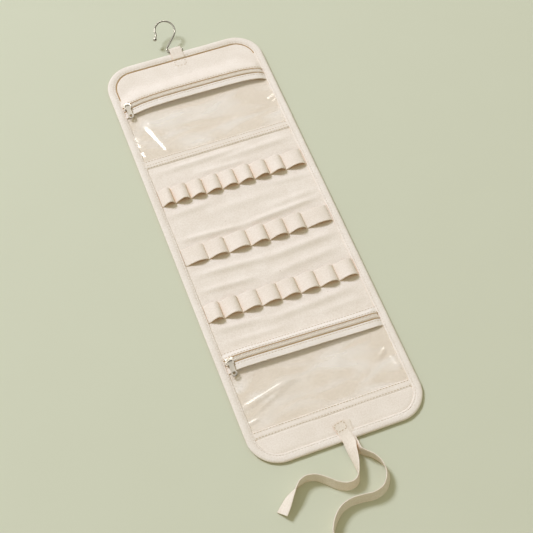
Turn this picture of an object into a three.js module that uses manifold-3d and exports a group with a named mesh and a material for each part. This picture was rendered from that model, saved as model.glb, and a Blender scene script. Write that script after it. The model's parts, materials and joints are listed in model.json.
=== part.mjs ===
// A hanging toiletry roll of natural cotton canvas, laid open on its back.
// Millimetres. X runs across the roll, +Y runs up to the hook, +Z is up out of the lining.
// The origin is on the underside, in the middle of the cloth.
import * as THREE from 'three';
import { mergeVertices } from 'three/addons/utils/BufferGeometryUtils.js';
import Module from 'manifold-3d';

const wasm = await Module();
wasm.setup();

// Cloth
const rollWidth = 240;
const cornerRadius = 42;
const cornerSteps = 8;
const clothThickness = 0.9;
const plyGap = 0.1;
const edgeGap = 0.3;
const foldGap = 0.6;
const bindingWidth = 12;

// Bands of the roll from the top edge to the bottom edge, each along Y
const headerDepth = 69.5;
const topWindowLength = 96.5;
const topSeamWidth = 14;
const bareAboveRow1 = 41;
const loopTapeWidth = 26;
const bareAboveRow2 = 74.5;
const bareAboveRow3 = 66;
const bareBelowRow3 = 49;
const bottomWindowLength = 100;
const bottomSeamWidth = 11;
const hemDepth = 40;

// Tool loops: the width of each loop along its row, from the left
const row1Loops = [16, 17, 17, 18, 18, 18, 18, 18, 24];
const row2Loops = [30, 20, 23, 18, 19, 18, 29];
const row3Loops = [19, 18, 20, 20, 19, 20, 20, 20];
const loopTapeThickness = 1;
const loopRise = 8;
const loopRiseWidth = 18;
const loopFlattening = 0.16;
const loopLean = 2;
const loopFoot = 2;
const loopSteps = 10;

// Zips
const zipHeight = 4.7;
const zipTapeThickness = 0.6;
const zipUpperReach = 15.5;
const zipSewnEdge = 1;
const zipLowerReach = 14;
const zipFlat = 6.5;
const coilGap = 0.8;
const coilWidth = 2.6;
const coilHeight = 1.8;
const sliderLength = 10;
const sliderPlate = 1;
const sliderClearance = 0.3;
const sliderFlange = 1;
const sliderPost = 0.7;
const sliderPostLength = 3.5;
const sliderEndGap = 1;
const bailBar = 1.2;
const bailLength = 6.8;
const bailLeg = 0.9;
const knuckleLength = 4.2;
const knuckleBore = 1;
const knuckleWall = 0.75;
const knuckleGap = 0.15;
const pullLength = 22;
const pullWidth = 6.4;
const pullEndRadius = 4.2;
const pullHoleRadius = 2;
const pullThickness = 1.4;
const pullTiltDegrees = 12;

// Clear windows
const filmThickness = 0.4;
const filmLevelShare = 0.36;
const filmSideShare = 0.3;
const filmSteps = [20, 12];

// Hanger tab and hook
const tabX = -2;
const tabWidth = 18;
const tabThickness = 0.9;
const tabSewnLength = 14;
const tabReach = 10;
const barReach = 3.4;
const barClearance = 0.2;
const wireRadius = 1.35;
const ballRadius = 3;
const hookTiltDegrees = 23;
const hookCentre = [-6, 33.7];
const hookRadius = 15;
const hookArcDegrees = [190, -48];
const hookBallPoint = [-23.1, 26.9];
const hookBend = [-11.3, 6.8];
const hookStub = 2.6;
const hookArcSteps = 12;
const hookShankShares = [0.4, 0.8, 0.95];
const hookTurnRadii = 1.5;
const hookNipShare = 0.3;
const wireSteps = 56;

// Tie tapes
const tieWidth = 16;
const tieThickness = 0.9;
const tieSteps = 3;

// Levels in the stack of plies, from the surface that the roll lies on
const outerLow = clothThickness + plyGap;
const outerTop = outerLow + clothThickness;
const liningLow = outerTop + plyGap;
const liningTop = liningLow + clothThickness;
const frontLevel = liningTop + plyGap;
const frontTop = frontLevel + clothThickness;
const tapeLow = liningTop + zipHeight;
const tapeTop = tapeLow + zipTapeThickness;
const coilLow = tapeTop + plyGap;
const coilTop = coilLow + coilHeight;

// The slider straddles both coils, and the header stops just clear of it
const sliderInner = coilGap + coilWidth + sliderClearance;
const sliderHalf = sliderInner + sliderFlange;
const headerToChain = sliderHalf + edgeGap;

// Places along Y
const rollLength = headerDepth + headerToChain + topWindowLength + topSeamWidth + bareAboveRow1
  + loopTapeWidth + bareAboveRow2 + loopTapeWidth + bareAboveRow3 + loopTapeWidth + bareBelowRow3
  + zipUpperReach + bottomWindowLength + bottomSeamWidth + hemDepth;
const topEdge = rollLength / 2;
const bottomEdge = -rollLength / 2;
const headerEdge = topEdge - headerDepth;
const topChain = headerEdge - headerToChain;
const topSeamTop = topChain - topWindowLength;
const topSeamLow = topSeamTop - topSeamWidth;
const row1Top = topSeamLow - bareAboveRow1;
const row2Top = row1Top - loopTapeWidth - bareAboveRow2;
const row3Top = row2Top - loopTapeWidth - bareAboveRow3;
const bottomZipTop = row3Top - loopTapeWidth - bareBelowRow3;
const bottomChain = bottomZipTop - zipUpperReach;
const bottomSeamTop = bottomChain - bottomWindowLength;
const bottomSeamLow = bottomSeamTop - bottomSeamWidth;
const fold1 = topSeamLow - bareAboveRow1 / 2;
const fold2 = row2Top + bareAboveRow2 / 2;
const fold3 = row3Top + bareAboveRow3 / 2;
const fold4 = bottomZipTop + bareBelowRow3 / 2;

// Places along X
const halfWidth = rollWidth / 2;
const innerHalf = halfWidth - bindingWidth;
const frontHalf = innerHalf - edgeGap;
const plyInset = clothThickness + edgeGap;
const coreInset = bindingWidth + edgeGap;

// Finishes
const finishes = {
  canvas: { color: 0xece2d3, roughness: 0.95, metalness: 0 },
  binding: { color: 0xeee5d8, roughness: 0.95, metalness: 0 },
  tape: { color: 0xe9dfd0, roughness: 0.9, metalness: 0 },
  zipTape: { color: 0xe6dccd, roughness: 0.85, metalness: 0 },
  coil: { color: 0xeadfc9, roughness: 0.5, metalness: 0 },
  film: { color: 0xf2efe8, roughness: 0.1, metalness: 0, transparent: true, opacity: 0.25 },
  nickel: { color: 0xd8d2c6, roughness: 0.3, metalness: 1 },
  chrome: { color: 0xdadada, roughness: 0.1, metalness: 1 },
};

const roll = new THREE.Group();

function addPiece(name, finish, geometry) {
  const piece = new THREE.Mesh(geometry, new THREE.MeshStandardMaterial(finishes[finish]));
  piece.name = name;
  roll.add(piece);
  return piece;
}

// Geometry helpers

function closedGeometry(points, triangles) {
  let volume = 0;
  for (const [a, b, c] of triangles) {
    volume += points[a].dot(new THREE.Vector3().crossVectors(points[b], points[c]));
  }
  const index = triangles.flatMap(([a, b, c]) => (volume < 0 ? [a, c, b] : [a, b, c]));
  const geometry = new THREE.BufferGeometry().setFromPoints(points);
  geometry.setIndex(index);
  return geometry;
}

function toSolid(geometry) {
  const bare = geometry.clone();
  bare.deleteAttribute('normal');
  bare.deleteAttribute('uv');
  const merged = mergeVertices(bare, 1e-4);
  const vertProperties = new Float32Array(merged.attributes.position.array);
  const triVerts = new Uint32Array(merged.index.array);
  return new wasm.Manifold(new wasm.Mesh({ numProp: 3, vertProperties, triVerts }));
}

function fromSolid(solid) {
  const mesh = solid.getMesh();
  const geometry = new THREE.BufferGeometry();
  geometry.setAttribute('position', new THREE.BufferAttribute(mesh.vertProperties, 3));
  geometry.setIndex(new THREE.BufferAttribute(mesh.triVerts, 1));
  return geometry;
}

function join(...geometries) {
  return fromSolid(geometries.map(toSolid).reduce((whole, next) => whole.add(next)));
}

function common(first, second) {
  return fromSolid(toSolid(first).intersect(toSolid(second)));
}

// A plan shape in X and Y, raised from one level to another
function raise(shape, low, high, curveSegments = 8) {
  const geometry = new THREE.ExtrudeGeometry(shape, { depth: high - low, bevelEnabled: false, curveSegments });
  return geometry.translate(0, 0, low);
}

// A section in X and Z, run along Y
function runAlongY(shape, low, high) {
  const geometry = new THREE.ExtrudeGeometry(shape, { depth: high - low, bevelEnabled: false });
  return geometry.rotateX(Math.PI / 2).translate(0, high, 0);
}

// A section in Y and Z, run along X
function runAlongX(shape, low, high, curveSegments = 8) {
  const geometry = new THREE.ExtrudeGeometry(shape, { depth: high - low, bevelEnabled: false, curveSegments });
  const turn = new THREE.Matrix4().set(0, 0, 1, 0, 1, 0, 0, 0, 0, 1, 0, 0, 0, 0, 0, 1);
  return geometry.applyMatrix4(turn).translate(low, 0, 0);
}

function polygon(points) {
  return new THREE.Shape(points.map(([a, b]) => new THREE.Vector2(a, b)));
}

function rectangle(lowA, highA, lowB, highB) {
  return polygon([[lowA, lowB], [highA, lowB], [highA, highB], [lowA, highB]]);
}

// A strip of even thickness above a line of points
function strip(line, thickness) {
  const upper = line.map((point, i) => {
    const before = line[Math.max(i - 1, 0)];
    const after = line[Math.min(i + 1, line.length - 1)];
    const first = new THREE.Vector2(point[0] - before[0], point[1] - before[1]);
    const second = new THREE.Vector2(after[0] - point[0], after[1] - point[1]);
    const along = first.normalize().add(second.normalize()).normalize();
    const spread = Math.max(along.dot(second.lengthSq() > 0 ? second : first), 0.5);
    return [point[0] - along.y * thickness / spread, point[1] + along.x * thickness / spread];
  });
  return polygon([...line, ...upper.reverse()]);
}

// The outline of the roll, inset all round and cut off at two lines across it
function outline(inset, low, high) {
  const half = halfWidth - inset;
  const radius = cornerRadius - inset;
  const top = Math.min(high, topEdge - inset);
  const bottom = Math.max(low, bottomEdge + inset);
  const shape = new THREE.Shape();
  if (high >= topEdge) {
    shape.absarc(half - radius, top - radius, radius, 0, Math.PI / 2);
    shape.absarc(-half + radius, top - radius, radius, Math.PI / 2, Math.PI);
  } else {
    shape.moveTo(half, top);
    shape.lineTo(-half, top);
  }
  if (low <= bottomEdge) {
    shape.absarc(-half + radius, bottom + radius, radius, Math.PI, 1.5 * Math.PI);
    shape.absarc(half - radius, bottom + radius, radius, 1.5 * Math.PI, 2 * Math.PI);
  } else {
    shape.lineTo(-half, bottom);
    shape.lineTo(half, bottom);
  }
  shape.closePath();
  return shape;
}

// A section, given as distance inwards and height, swept along an open edge line
function sweepEdge(section, line) {
  const points = [];
  const triangles = [];
  for (const { at, inward } of line) {
    for (const [depth, height] of section) {
      points.push(new THREE.Vector3(at.x + inward.x * depth, at.y + inward.y * depth, height));
    }
  }
  const count = section.length;
  for (let i = 0; i + 1 < line.length; i += 1) {
    for (let j = 0; j < count; j += 1) {
      const a = i * count + j;
      const b = i * count + (j + 1) % count;
      triangles.push([a, b, a + count], [b, b + count, a + count]);
    }
  }
  const ends = THREE.ShapeUtils.triangulateShape(section.map(([a, b]) => new THREE.Vector2(a, b)), []);
  const turned = THREE.ShapeUtils.area(section.map(([a, b]) => new THREE.Vector2(a, b))) < 0;
  const last = (line.length - 1) * count;
  for (const [a, b, c] of ends) {
    const [first, second] = turned ? [c, b] : [b, c];
    triangles.push([a, second, first], [last + a, last + first, last + second]);
  }
  return closedGeometry(points, triangles);
}

function straightEdge(side, low, high) {
  const inward = new THREE.Vector2(-side, 0);
  return [low, high].map((y) => ({ at: new THREE.Vector2(side * halfWidth, y), inward }));
}

function roundEdge(end, cut) {
  const line = [{ at: new THREE.Vector2(-halfWidth, cut), inward: new THREE.Vector2(1, 0) }];
  for (const side of [-1, 1]) {
    for (let i = 0; i <= cornerSteps; i += 1) {
      const share = side < 0 ? i / cornerSteps : 1 - i / cornerSteps;
      const angle = share * Math.PI / 2;
      const out = new THREE.Vector2(side * Math.cos(angle), end * Math.sin(angle));
      const x = side * (halfWidth - cornerRadius) + out.x * cornerRadius;
      const y = end * (topEdge - cornerRadius) + out.y * cornerRadius;
      line.push({ at: new THREE.Vector2(x, y), inward: out.clone().negate() });
    }
  }
  line.push({ at: new THREE.Vector2(halfWidth, cut), inward: new THREE.Vector2(-1, 0) });
  return line;
}

// Cloth of one panel: the outer canvas sags to the surface inside the binding, the lining lies on it
function addCloth(name, low, high) {
  const lowCut = low > bottomEdge ? low + foldGap / 2 : low;
  const highCut = high < topEdge ? high - foldGap / 2 : high;
  const plate = raise(outline(plyInset, lowCut, highCut), outerLow, outerTop);
  const core = raise(outline(coreInset, lowCut, highCut), 0, outerTop - clothThickness / 2);
  addPiece(`outer_canvas_${name}`, 'canvas', join(plate, core));
  addPiece(`lining_${name}`, 'canvas', raise(outline(plyInset, lowCut, highCut), liningLow, liningTop));
}

// The binding is a channel folded round the plies' edge
const bindingSection = [
  [bindingWidth, 0], [clothThickness, 0], [0, clothThickness], [0, frontLevel],
  [clothThickness, frontTop], [bindingWidth, frontTop], [bindingWidth, frontLevel],
  [clothThickness, frontLevel], [clothThickness, clothThickness], [bindingWidth, clothThickness],
];

function addSideBindings(name, low, high) {
  for (const [side, word] of [[-1, 'left'], [1, 'right']]) {
    const line = straightEdge(side, low + foldGap / 2, high - foldGap / 2);
    addPiece(`binding_${word}_${name}`, 'binding', sweepEdge(bindingSection, line));
  }
}

addCloth('top', fold1, topEdge);
addCloth('upper', fold2, fold1);
addCloth('middle', fold3, fold2);
addCloth('lower', fold4, fold3);
addCloth('bottom', bottomEdge, fold4);
addPiece('binding_top', 'binding', sweepEdge(bindingSection, roundEdge(1, fold1 + foldGap / 2)));
addPiece('binding_bottom', 'binding', sweepEdge(bindingSection, roundEdge(-1, fold4 - foldGap / 2)));
addSideBindings('upper', fold2, fold1);
addSideBindings('middle', fold3, fold2);
addSideBindings('lower', fold4, fold3);

// Tool loops: one tape per row that rises slowly, leans over and is sewn flat between loops
function loopLine(widths) {
  const sewn = widths.reduce((sum, width) => sum + width, 0);
  const flat = (2 * (frontHalf - loopFoot) - sewn) / (widths.length - 1);
  const line = [[-frontHalf, frontLevel]];
  let x = -frontHalf + loopFoot;
  for (const width of widths) {
    const rise = loopRise - loopFlattening * Math.max(width - loopRiseWidth, 0) - loopTapeThickness;
    for (let i = 0; i <= loopSteps; i += 1) {
      const share = i / loopSteps;
      line.push([x + width * share, frontLevel + rise * Math.sin(Math.PI * share ** loopLean)]);
    }
    x += width + flat;
  }
  line.push([frontHalf, frontLevel]);
  return line;
}

for (const [row, widths, top] of [[1, row1Loops, row1Top], [2, row2Loops, row2Top], [3, row3Loops, row3Top]]) {
  const section = strip(loopLine(widths), loopTapeThickness);
  addPiece(`loop_tape_row_${row}`, 'tape', runAlongY(section, top - loopTapeWidth, top));
}

// Zips: tapes, coils, slider and pull, all placed from the middle line of the chain
function upperTapeLine(chain) {
  return [
    [chain + zipUpperReach, frontLevel], [chain + zipUpperReach - zipSewnEdge, frontLevel],
    [chain + zipFlat, tapeLow], [chain + coilGap, tapeLow],
  ];
}

function addZipChain(name, chain) {
  const upper = strip(upperTapeLine(chain).reverse(), zipTapeThickness);
  addPiece(`${name}_zip_upper_tape`, 'zipTape', runAlongX(upper, -frontHalf, frontHalf));
  const lower = rectangle(chain - zipLowerReach, chain - coilGap, tapeLow, tapeTop);
  addPiece(`${name}_zip_lower_tape`, 'zipTape', runAlongX(lower, -frontHalf, frontHalf));
  for (const [side, word] of [[1, 'upper'], [-1, 'lower']]) {
    const inner = chain + side * coilGap;
    const outer = chain + side * (coilGap + coilWidth);
    const bevel = coilHeight / 3;
    const section = polygon([
      [inner, coilLow], [outer, coilLow], [outer, coilTop - bevel],
      [outer - side * bevel, coilTop], [inner, coilTop],
    ]);
    addPiece(`${name}_zip_${word}_coil`, 'coil', runAlongX(section, -frontHalf, frontHalf));
  }
}

const sliderX = -innerHalf + sliderEndGap + sliderLength / 2;
const lowPlateTop = tapeLow - sliderClearance;
const lowPlateLow = lowPlateTop - sliderPlate;
const topPlateLow = coilTop + sliderClearance;
const topPlateTop = topPlateLow + sliderPlate;
const knuckleRadius = knuckleBore + knuckleWall;
const pivotHeight = topPlateTop + knuckleRadius + knuckleGap;

function addSlider(name, chain) {
  const left = sliderX - sliderLength / 2;
  const right = sliderX + sliderLength / 2;
  const section = polygon([
    [-sliderHalf, topPlateTop], [-sliderHalf, tapeTop + sliderClearance], [-sliderInner, tapeTop + sliderClearance],
    [-sliderInner, topPlateLow], [sliderInner, topPlateLow], [sliderInner, tapeTop + sliderClearance],
    [sliderHalf, tapeTop + sliderClearance], [sliderHalf, topPlateTop],
  ]);
  const cover = runAlongX(section, left, right).translate(0, chain, 0);
  const sole = raise(rectangle(left, right, chain - sliderHalf, chain + sliderHalf), lowPlateLow, lowPlateTop);
  const postEnd = left + sliderPostLength;
  const post = raise(
    rectangle(left, postEnd, chain - sliderPost / 2, chain + sliderPost / 2),
    lowPlateTop - sliderPlate / 2, topPlateLow + sliderPlate / 2,
  );
  const bailHalf = bailLength / 2;
  const bailLow = topPlateTop - sliderPlate / 2;
  const bailTop = pivotHeight + bailBar / 2;
  const arch = polygon([
    [sliderX - bailHalf, bailLow], [sliderX - bailHalf + bailLeg, bailLow],
    [sliderX - bailHalf + bailLeg, bailTop - bailBar], [sliderX + bailHalf - bailLeg, bailTop - bailBar],
    [sliderX + bailHalf - bailLeg, bailLow], [sliderX + bailHalf, bailLow],
    [sliderX + bailHalf, bailTop], [sliderX - bailHalf, bailTop],
  ]);
  const bail = runAlongY(arch, chain - bailBar / 2, chain + bailBar / 2);
  addPiece(`${name}_zip_slider`, 'nickel', join(cover, sole, post, bail));
}

function addPull(name, chain) {
  const ring = new THREE.Shape();
  ring.absarc(0, 0, knuckleRadius, 0, 2 * Math.PI);
  ring.holes.push(new THREE.Path().absarc(0, 0, knuckleBore, 0, 2 * Math.PI, true));
  const knuckle = runAlongX(ring, -knuckleLength / 2, knuckleLength / 2, 16);
  const endCentre = -pullLength + pullEndRadius;
  const blade = new THREE.Shape();
  const bladeStart = -knuckleBore - knuckleWall / 2;
  const meet = endCentre + Math.sqrt(pullEndRadius ** 2 - (pullWidth / 2) ** 2);
  const turn = Math.acos(pullWidth / 2 / pullEndRadius);
  blade.moveTo(knuckleLength / 2, bladeStart);
  blade.lineTo(-knuckleLength / 2, bladeStart);
  blade.lineTo(-pullWidth / 2, bladeStart - pullWidth / 2);
  blade.lineTo(-pullWidth / 2, meet);
  blade.absarc(0, endCentre, pullEndRadius, Math.PI - turn, 2 * Math.PI + turn);
  blade.lineTo(pullWidth / 2, bladeStart - pullWidth / 2);
  blade.closePath();
  blade.holes.push(new THREE.Path().absarc(0, endCentre, pullHoleRadius, 0, 2 * Math.PI, true));
  const plate = raise(blade, -pullThickness / 2, pullThickness / 2, 12);
  const pull = addPiece(`${name}_zip_pull`, 'nickel', join(knuckle, plate));
  pull.position.set(sliderX, chain, pivotHeight);
  pull.rotation.x = THREE.MathUtils.degToRad(pullTiltDegrees);
}

for (const [name, chain] of [['top', topChain], ['bottom', bottomChain]]) {
  addZipChain(name, chain);
  addSlider(name, chain);
  addPull(name, chain);
}

// Clear windows: level below the zip, then falling to the seam, and drawn down to the lining at both sides
function easeDown(share) {
  const t = Math.min(Math.max(share, 0), 1);
  return 1 - t * t * (3 - 2 * t);
}

function addWindow(name, chain, seam) {
  const [across, along] = filmSteps;
  const top = chain - sliderHalf - edgeGap;
  const low = seam + edgeGap;
  const swell = tapeLow - plyGap - filmThickness - frontLevel;
  const points = [];
  const triangles = [];
  for (const lift of [0, filmThickness]) {
    for (let j = 0; j <= along; j += 1) {
      for (let i = 0; i <= across; i += 1) {
        const x = (2 * i / across - 1) * frontHalf;
        const y = top + (low - top) * j / along;
        const side = easeDown((Math.abs(x) / frontHalf - 1 + filmSideShare) / filmSideShare);
        const front = easeDown((j / along - filmLevelShare) / (1 - filmLevelShare));
        points.push(new THREE.Vector3(x, y, frontLevel + swell * side * front + lift));
      }
    }
  }
  const row = across + 1;
  const layer = row * (along + 1);
  const rim = [];
  for (let j = 0; j < along; j += 1) {
    for (let i = 0; i < across; i += 1) {
      const a = j * row + i;
      triangles.push([a, a + 1, a + row], [a + 1, a + row + 1, a + row]);
      const b = a + layer;
      triangles.push([b, b + row, b + 1], [b + 1, b + row, b + row + 1]);
    }
  }
  for (let i = 0; i <= across; i += 1) rim.push(i);
  for (let j = 1; j <= along; j += 1) rim.push(j * row + across);
  for (let i = across - 1; i >= 0; i -= 1) rim.push(along * row + i);
  for (let j = along - 1; j > 0; j -= 1) rim.push(j * row);
  rim.forEach((a, i) => {
    const b = rim[(i + 1) % rim.length];
    triangles.push([a, a + layer, b], [b, a + layer, b + layer]);
  });
  addPiece(`${name}_window`, 'film', closedGeometry(points, triangles));
}

addWindow('top', topChain, topSeamTop);
addWindow('bottom', bottomChain, bottomSeamTop);

// Seam tapes and facings, kept inside the binding's inner edge
function addBand(name, low, high) {
  const band = raise(rectangle(-halfWidth, halfWidth, low, high), frontLevel, frontTop);
  addPiece(name, 'canvas', common(band, raise(outline(coreInset, bottomEdge, topEdge), 0, 2 * frontTop)));
}

addBand('top_pocket_seam_tape', topSeamLow, topSeamTop);
addBand('bottom_pocket_seam_tape', bottomSeamLow, bottomSeamTop);
addBand('hem_facing', bottomEdge, bottomSeamLow - edgeGap);

// The header lies on the lining and climbs over the upper tape of the top zip
const headerLine = [
  [headerEdge, tapeTop + plyGap], [topChain + zipFlat + zipTapeThickness / 2, tapeTop + plyGap],
  [topChain + zipUpperReach + 2 * zipTapeThickness, frontLevel], [topEdge, frontLevel],
];
const headerRun = runAlongX(strip(headerLine, clothThickness), -halfWidth, halfWidth);
const headerPlan = raise(outline(coreInset, headerEdge, topEdge), 0, 2 * tapeTop);
addPiece('header_facing', 'canvas', common(headerRun, headerPlan));

// Hanger tab: a folded tape sewn to the header, with a long eye past the edge for the hook's bar
const tabLow = frontTop + plyGap;
const tabDepth = 2 * tabThickness;
const barHeight = tabLow + tabThickness;
const eyeRadius = wireRadius + barClearance;
const eyeOuter = eyeRadius + tabThickness;
const barY = topEdge + barReach;
const eyeFar = topEdge + tabReach - eyeOuter;
const tabEnd = topEdge - bindingWidth - tabSewnLength;

const tabShape = new THREE.Shape();
tabShape.moveTo(tabEnd, tabLow);
tabShape.lineTo(topEdge, tabLow);
tabShape.lineTo(barY, barHeight - eyeOuter);
tabShape.absarc(eyeFar, barHeight, eyeOuter, -Math.PI / 2, Math.PI / 2);
tabShape.lineTo(barY, barHeight + eyeOuter);
tabShape.lineTo(topEdge - eyeOuter, tabLow + tabDepth);
tabShape.lineTo(tabEnd, tabLow + tabDepth);
tabShape.closePath();
const eye = new THREE.Path();
eye.absarc(barY, barHeight, eyeRadius, -Math.PI / 2, Math.PI / 2, true);
eye.absarc(eyeFar, barHeight, eyeRadius, Math.PI / 2, -Math.PI / 2, true);
eye.closePath();
tabShape.holes.push(eye);
addPiece('hanger_tab', 'tape', runAlongX(tabShape, tabX - tabWidth / 2, tabX + tabWidth / 2, 6));

// Hook: one bent wire, drawn in its own plane as X and distance from the bar, then tilted about the bar
const hookGroup = new THREE.Group();
hookGroup.position.set(tabX, barY, barHeight);
hookGroup.rotation.x = THREE.MathUtils.degToRad(hookTiltDegrees);
roll.add(hookGroup);

function hookPoints() {
  const barHalf = tabWidth / 2 + hookStub;
  const flat = [hookBallPoint];
  for (let i = 0; i <= hookArcSteps; i += 1) {
    const share = i / hookArcSteps;
    const angle = THREE.MathUtils.degToRad(THREE.MathUtils.lerp(hookArcDegrees[0], hookArcDegrees[1], share));
    flat.push([hookCentre[0] + hookRadius * Math.cos(angle), hookCentre[1] + hookRadius * Math.sin(angle)]);
  }
  const arcEnd = flat[flat.length - 1];
  for (const share of hookShankShares) {
    flat.push([
      THREE.MathUtils.lerp(arcEnd[0], hookBend[0], share),
      THREE.MathUtils.lerp(arcEnd[1], hookBend[1], share),
    ]);
  }
  const turnIn = hookTurnRadii * wireRadius;
  flat.push([hookBend[0] - wireRadius / 2, hookBend[1] - turnIn]);
  const nip = hookNipShare * turnIn;
  flat.push([-barHalf, turnIn], [-barHalf + nip, nip], [-barHalf + turnIn, 0], [-barHalf + turnIn + nip, 0]);
  flat.push([0, 0], [barHalf, 0]);
  return flat.map(([x, along]) => new THREE.Vector3(x, along, 0));
}

const wireSection = new THREE.Shape();
wireSection.absarc(0, 0, wireRadius, 0, 2 * Math.PI);
const wirePath = new THREE.CatmullRomCurve3(hookPoints(), false, 'centripetal');
const wire = new THREE.ExtrudeGeometry(wireSection, { steps: wireSteps, curveSegments: 4, extrudePath: wirePath });
const wirePiece = addPiece('hook_wire', 'chrome', wire);
hookGroup.add(wirePiece);
const ballSpot = wirePath.getPoint(0);
const ballAway = wirePath.getTangent(0).multiplyScalar(-(ballRadius + plyGap));
const ball = new THREE.SphereGeometry(ballRadius, 12, 8).translate(...ballSpot.clone().add(ballAway).toArray());
hookGroup.add(addPiece('hook_ball', 'chrome', ball));

// Tie tapes: flat where they are sewn, then standing on edge along the surface
// Each point is X, Y, height of the middle of the tape, and the tape's turn from flat in degrees
const tieNearRoute = [
  [-2.2, -304, 5.5, 0], [0.4, -318, 5.6, 0], [1.9, -331, 6.9, 6], [1.5, -337.5, 8.2, 24], [0.5, -344, 8.8, 42],
  [-0.2, -356, 8.7, 62], [-1.4, -367, 8.6, 80], [-4, -378, 8.6, 98], [-9.7, -385.4, 8.4, 106],
  [-18, -387.6, 8.4, 110], [-27.2, -385.6, 8.4, 110], [-35.5, -380.2, 8.4, 109], [-42, -373.9, 8.4, 107],
  [-55, -363.4, 8.5, 103], [-67, -360.3, 8.5, 102], [-76, -362.3, 8.4, 98], [-83.5, -366.8, 8.4, 85],
  [-90, -371.8, 8, 66], [-97, -377.8, 6.8, 48], [-104, -384.8, 5.5, 36], [-111, -391.5, 4.5, 28],
];
const tieFarRoute = [
  [6.4, -304, 4.45, 0], [5.4, -318, 4.5, 0], [4.9, -331, 4.85, 1], [5.2, -337.5, 5.5, 12], [6.8, -343.8, 7.4, 46],
  [10.2, -350, 8.7, 78], [15.4, -355, 8.6, 86], [22.4, -361.2, 8.6, 90], [28, -370, 8.5, 96],
  [31, -380.5, 8.4, 106], [29.4, -392, 8.4, 110], [20, -404.6, 8.4, 110], [5, -409.6, 8.4, 110],
  [-11.5, -408, 8.4, 110], [-25.5, -407.4, 8.4, 109], [-39, -410.8, 8.4, 107], [-51, -420, 8.4, 106],
  [-61.5, -434.6, 8.5, 98], [-66, -446, 8.2, 64], [-71, -456, 5.2, 28], [-76, -466, 1.6, 4],
];

function tieGeometry(route) {
  const path = new THREE.CatmullRomCurve3(route.map(([x, y, z]) => new THREE.Vector3(x, y, z)), false, 'centripetal');
  const count = (route.length - 1) * tieSteps;
  const points = [];
  const triangles = [];
  for (let i = 0; i <= count; i += 1) {
    const share = i / count;
    const at = path.getPoint(share);
    const along = path.getTangent(share);
    const level = new THREE.Vector3(-along.y, along.x, 0).normalize();
    const place = share * (route.length - 1);
    const before = Math.min(Math.floor(place), route.length - 2);
    const degrees = THREE.MathUtils.lerp(route[before][3], route[before + 1][3], place - before);
    const wide = level.applyAxisAngle(along, THREE.MathUtils.degToRad(degrees)).multiplyScalar(tieWidth / 2);
    const thick = new THREE.Vector3().crossVectors(along, wide).setLength(tieThickness / 2);
    for (const [a, b] of [[-1, -1], [1, -1], [1, 1], [-1, 1]]) {
      points.push(at.clone().addScaledVector(wide, a).addScaledVector(thick, b));
    }
  }
  for (let i = 0; i < count; i += 1) {
    for (let j = 0; j < 4; j += 1) {
      const a = 4 * i + j;
      const b = 4 * i + (j + 1) % 4;
      triangles.push([a, b, a + 4], [b, b + 4, a + 4]);
    }
  }
  const last = 4 * count;
  triangles.push([0, 2, 1], [0, 3, 2], [last, last + 1, last + 2], [last, last + 2, last + 3]);
  return closedGeometry(points, triangles);
}

addPiece('tie_tape_near', 'tape', tieGeometry(tieNearRoute));
addPiece('tie_tape_far', 'tape', tieGeometry(tieFarRoute));

export default roll;
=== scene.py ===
"""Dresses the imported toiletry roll: canvas, binding, loops, zips, clear windows, hook and ties."""
import json
from math import cos, exp, hypot, pi, radians, sin, sqrt

import bmesh
import bpy
from mathutils import Matrix, Vector, noise


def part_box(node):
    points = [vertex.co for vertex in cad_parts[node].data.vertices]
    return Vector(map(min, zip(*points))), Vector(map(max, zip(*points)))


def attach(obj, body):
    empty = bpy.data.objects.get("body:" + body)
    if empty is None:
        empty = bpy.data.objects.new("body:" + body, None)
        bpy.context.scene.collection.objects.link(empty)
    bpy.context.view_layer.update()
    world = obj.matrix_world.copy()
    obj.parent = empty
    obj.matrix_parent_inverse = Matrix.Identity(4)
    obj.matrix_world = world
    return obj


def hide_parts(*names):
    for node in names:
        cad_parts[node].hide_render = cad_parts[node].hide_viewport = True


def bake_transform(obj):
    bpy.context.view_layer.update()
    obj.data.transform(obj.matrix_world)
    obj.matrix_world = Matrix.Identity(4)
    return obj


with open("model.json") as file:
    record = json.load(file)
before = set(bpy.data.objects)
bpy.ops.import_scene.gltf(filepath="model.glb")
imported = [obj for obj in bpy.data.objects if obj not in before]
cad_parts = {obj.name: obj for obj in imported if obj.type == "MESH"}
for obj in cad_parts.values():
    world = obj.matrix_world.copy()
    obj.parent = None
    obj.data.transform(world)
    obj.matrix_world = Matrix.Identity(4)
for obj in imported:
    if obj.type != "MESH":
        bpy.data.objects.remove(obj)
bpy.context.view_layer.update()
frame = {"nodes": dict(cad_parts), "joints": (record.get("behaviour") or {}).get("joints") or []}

bl_info = {
    "name": "Toiletry Roll Dressing",
    "version": (1, 0, 0),
    "blender": (4, 5, 0),
    "location": "3D View > Sidebar > Toiletry Roll",
    "description": "Sews the visible cloth, tapes, zips, film and hook over the packed toiletry roll",
    "category": "Object",
}

MM = 0.001
X_AXIS, Y_AXIS, Z_AXIS = (Vector(axis) for axis in ((1, 0, 0), (0, 1, 0), (0, 0, 1)))


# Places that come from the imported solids, in millimetres

def span(node, axis):
    """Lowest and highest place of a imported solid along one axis, in millimetres."""
    low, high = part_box(node)
    return low[axis] / MM, high[axis] / MM


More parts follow.
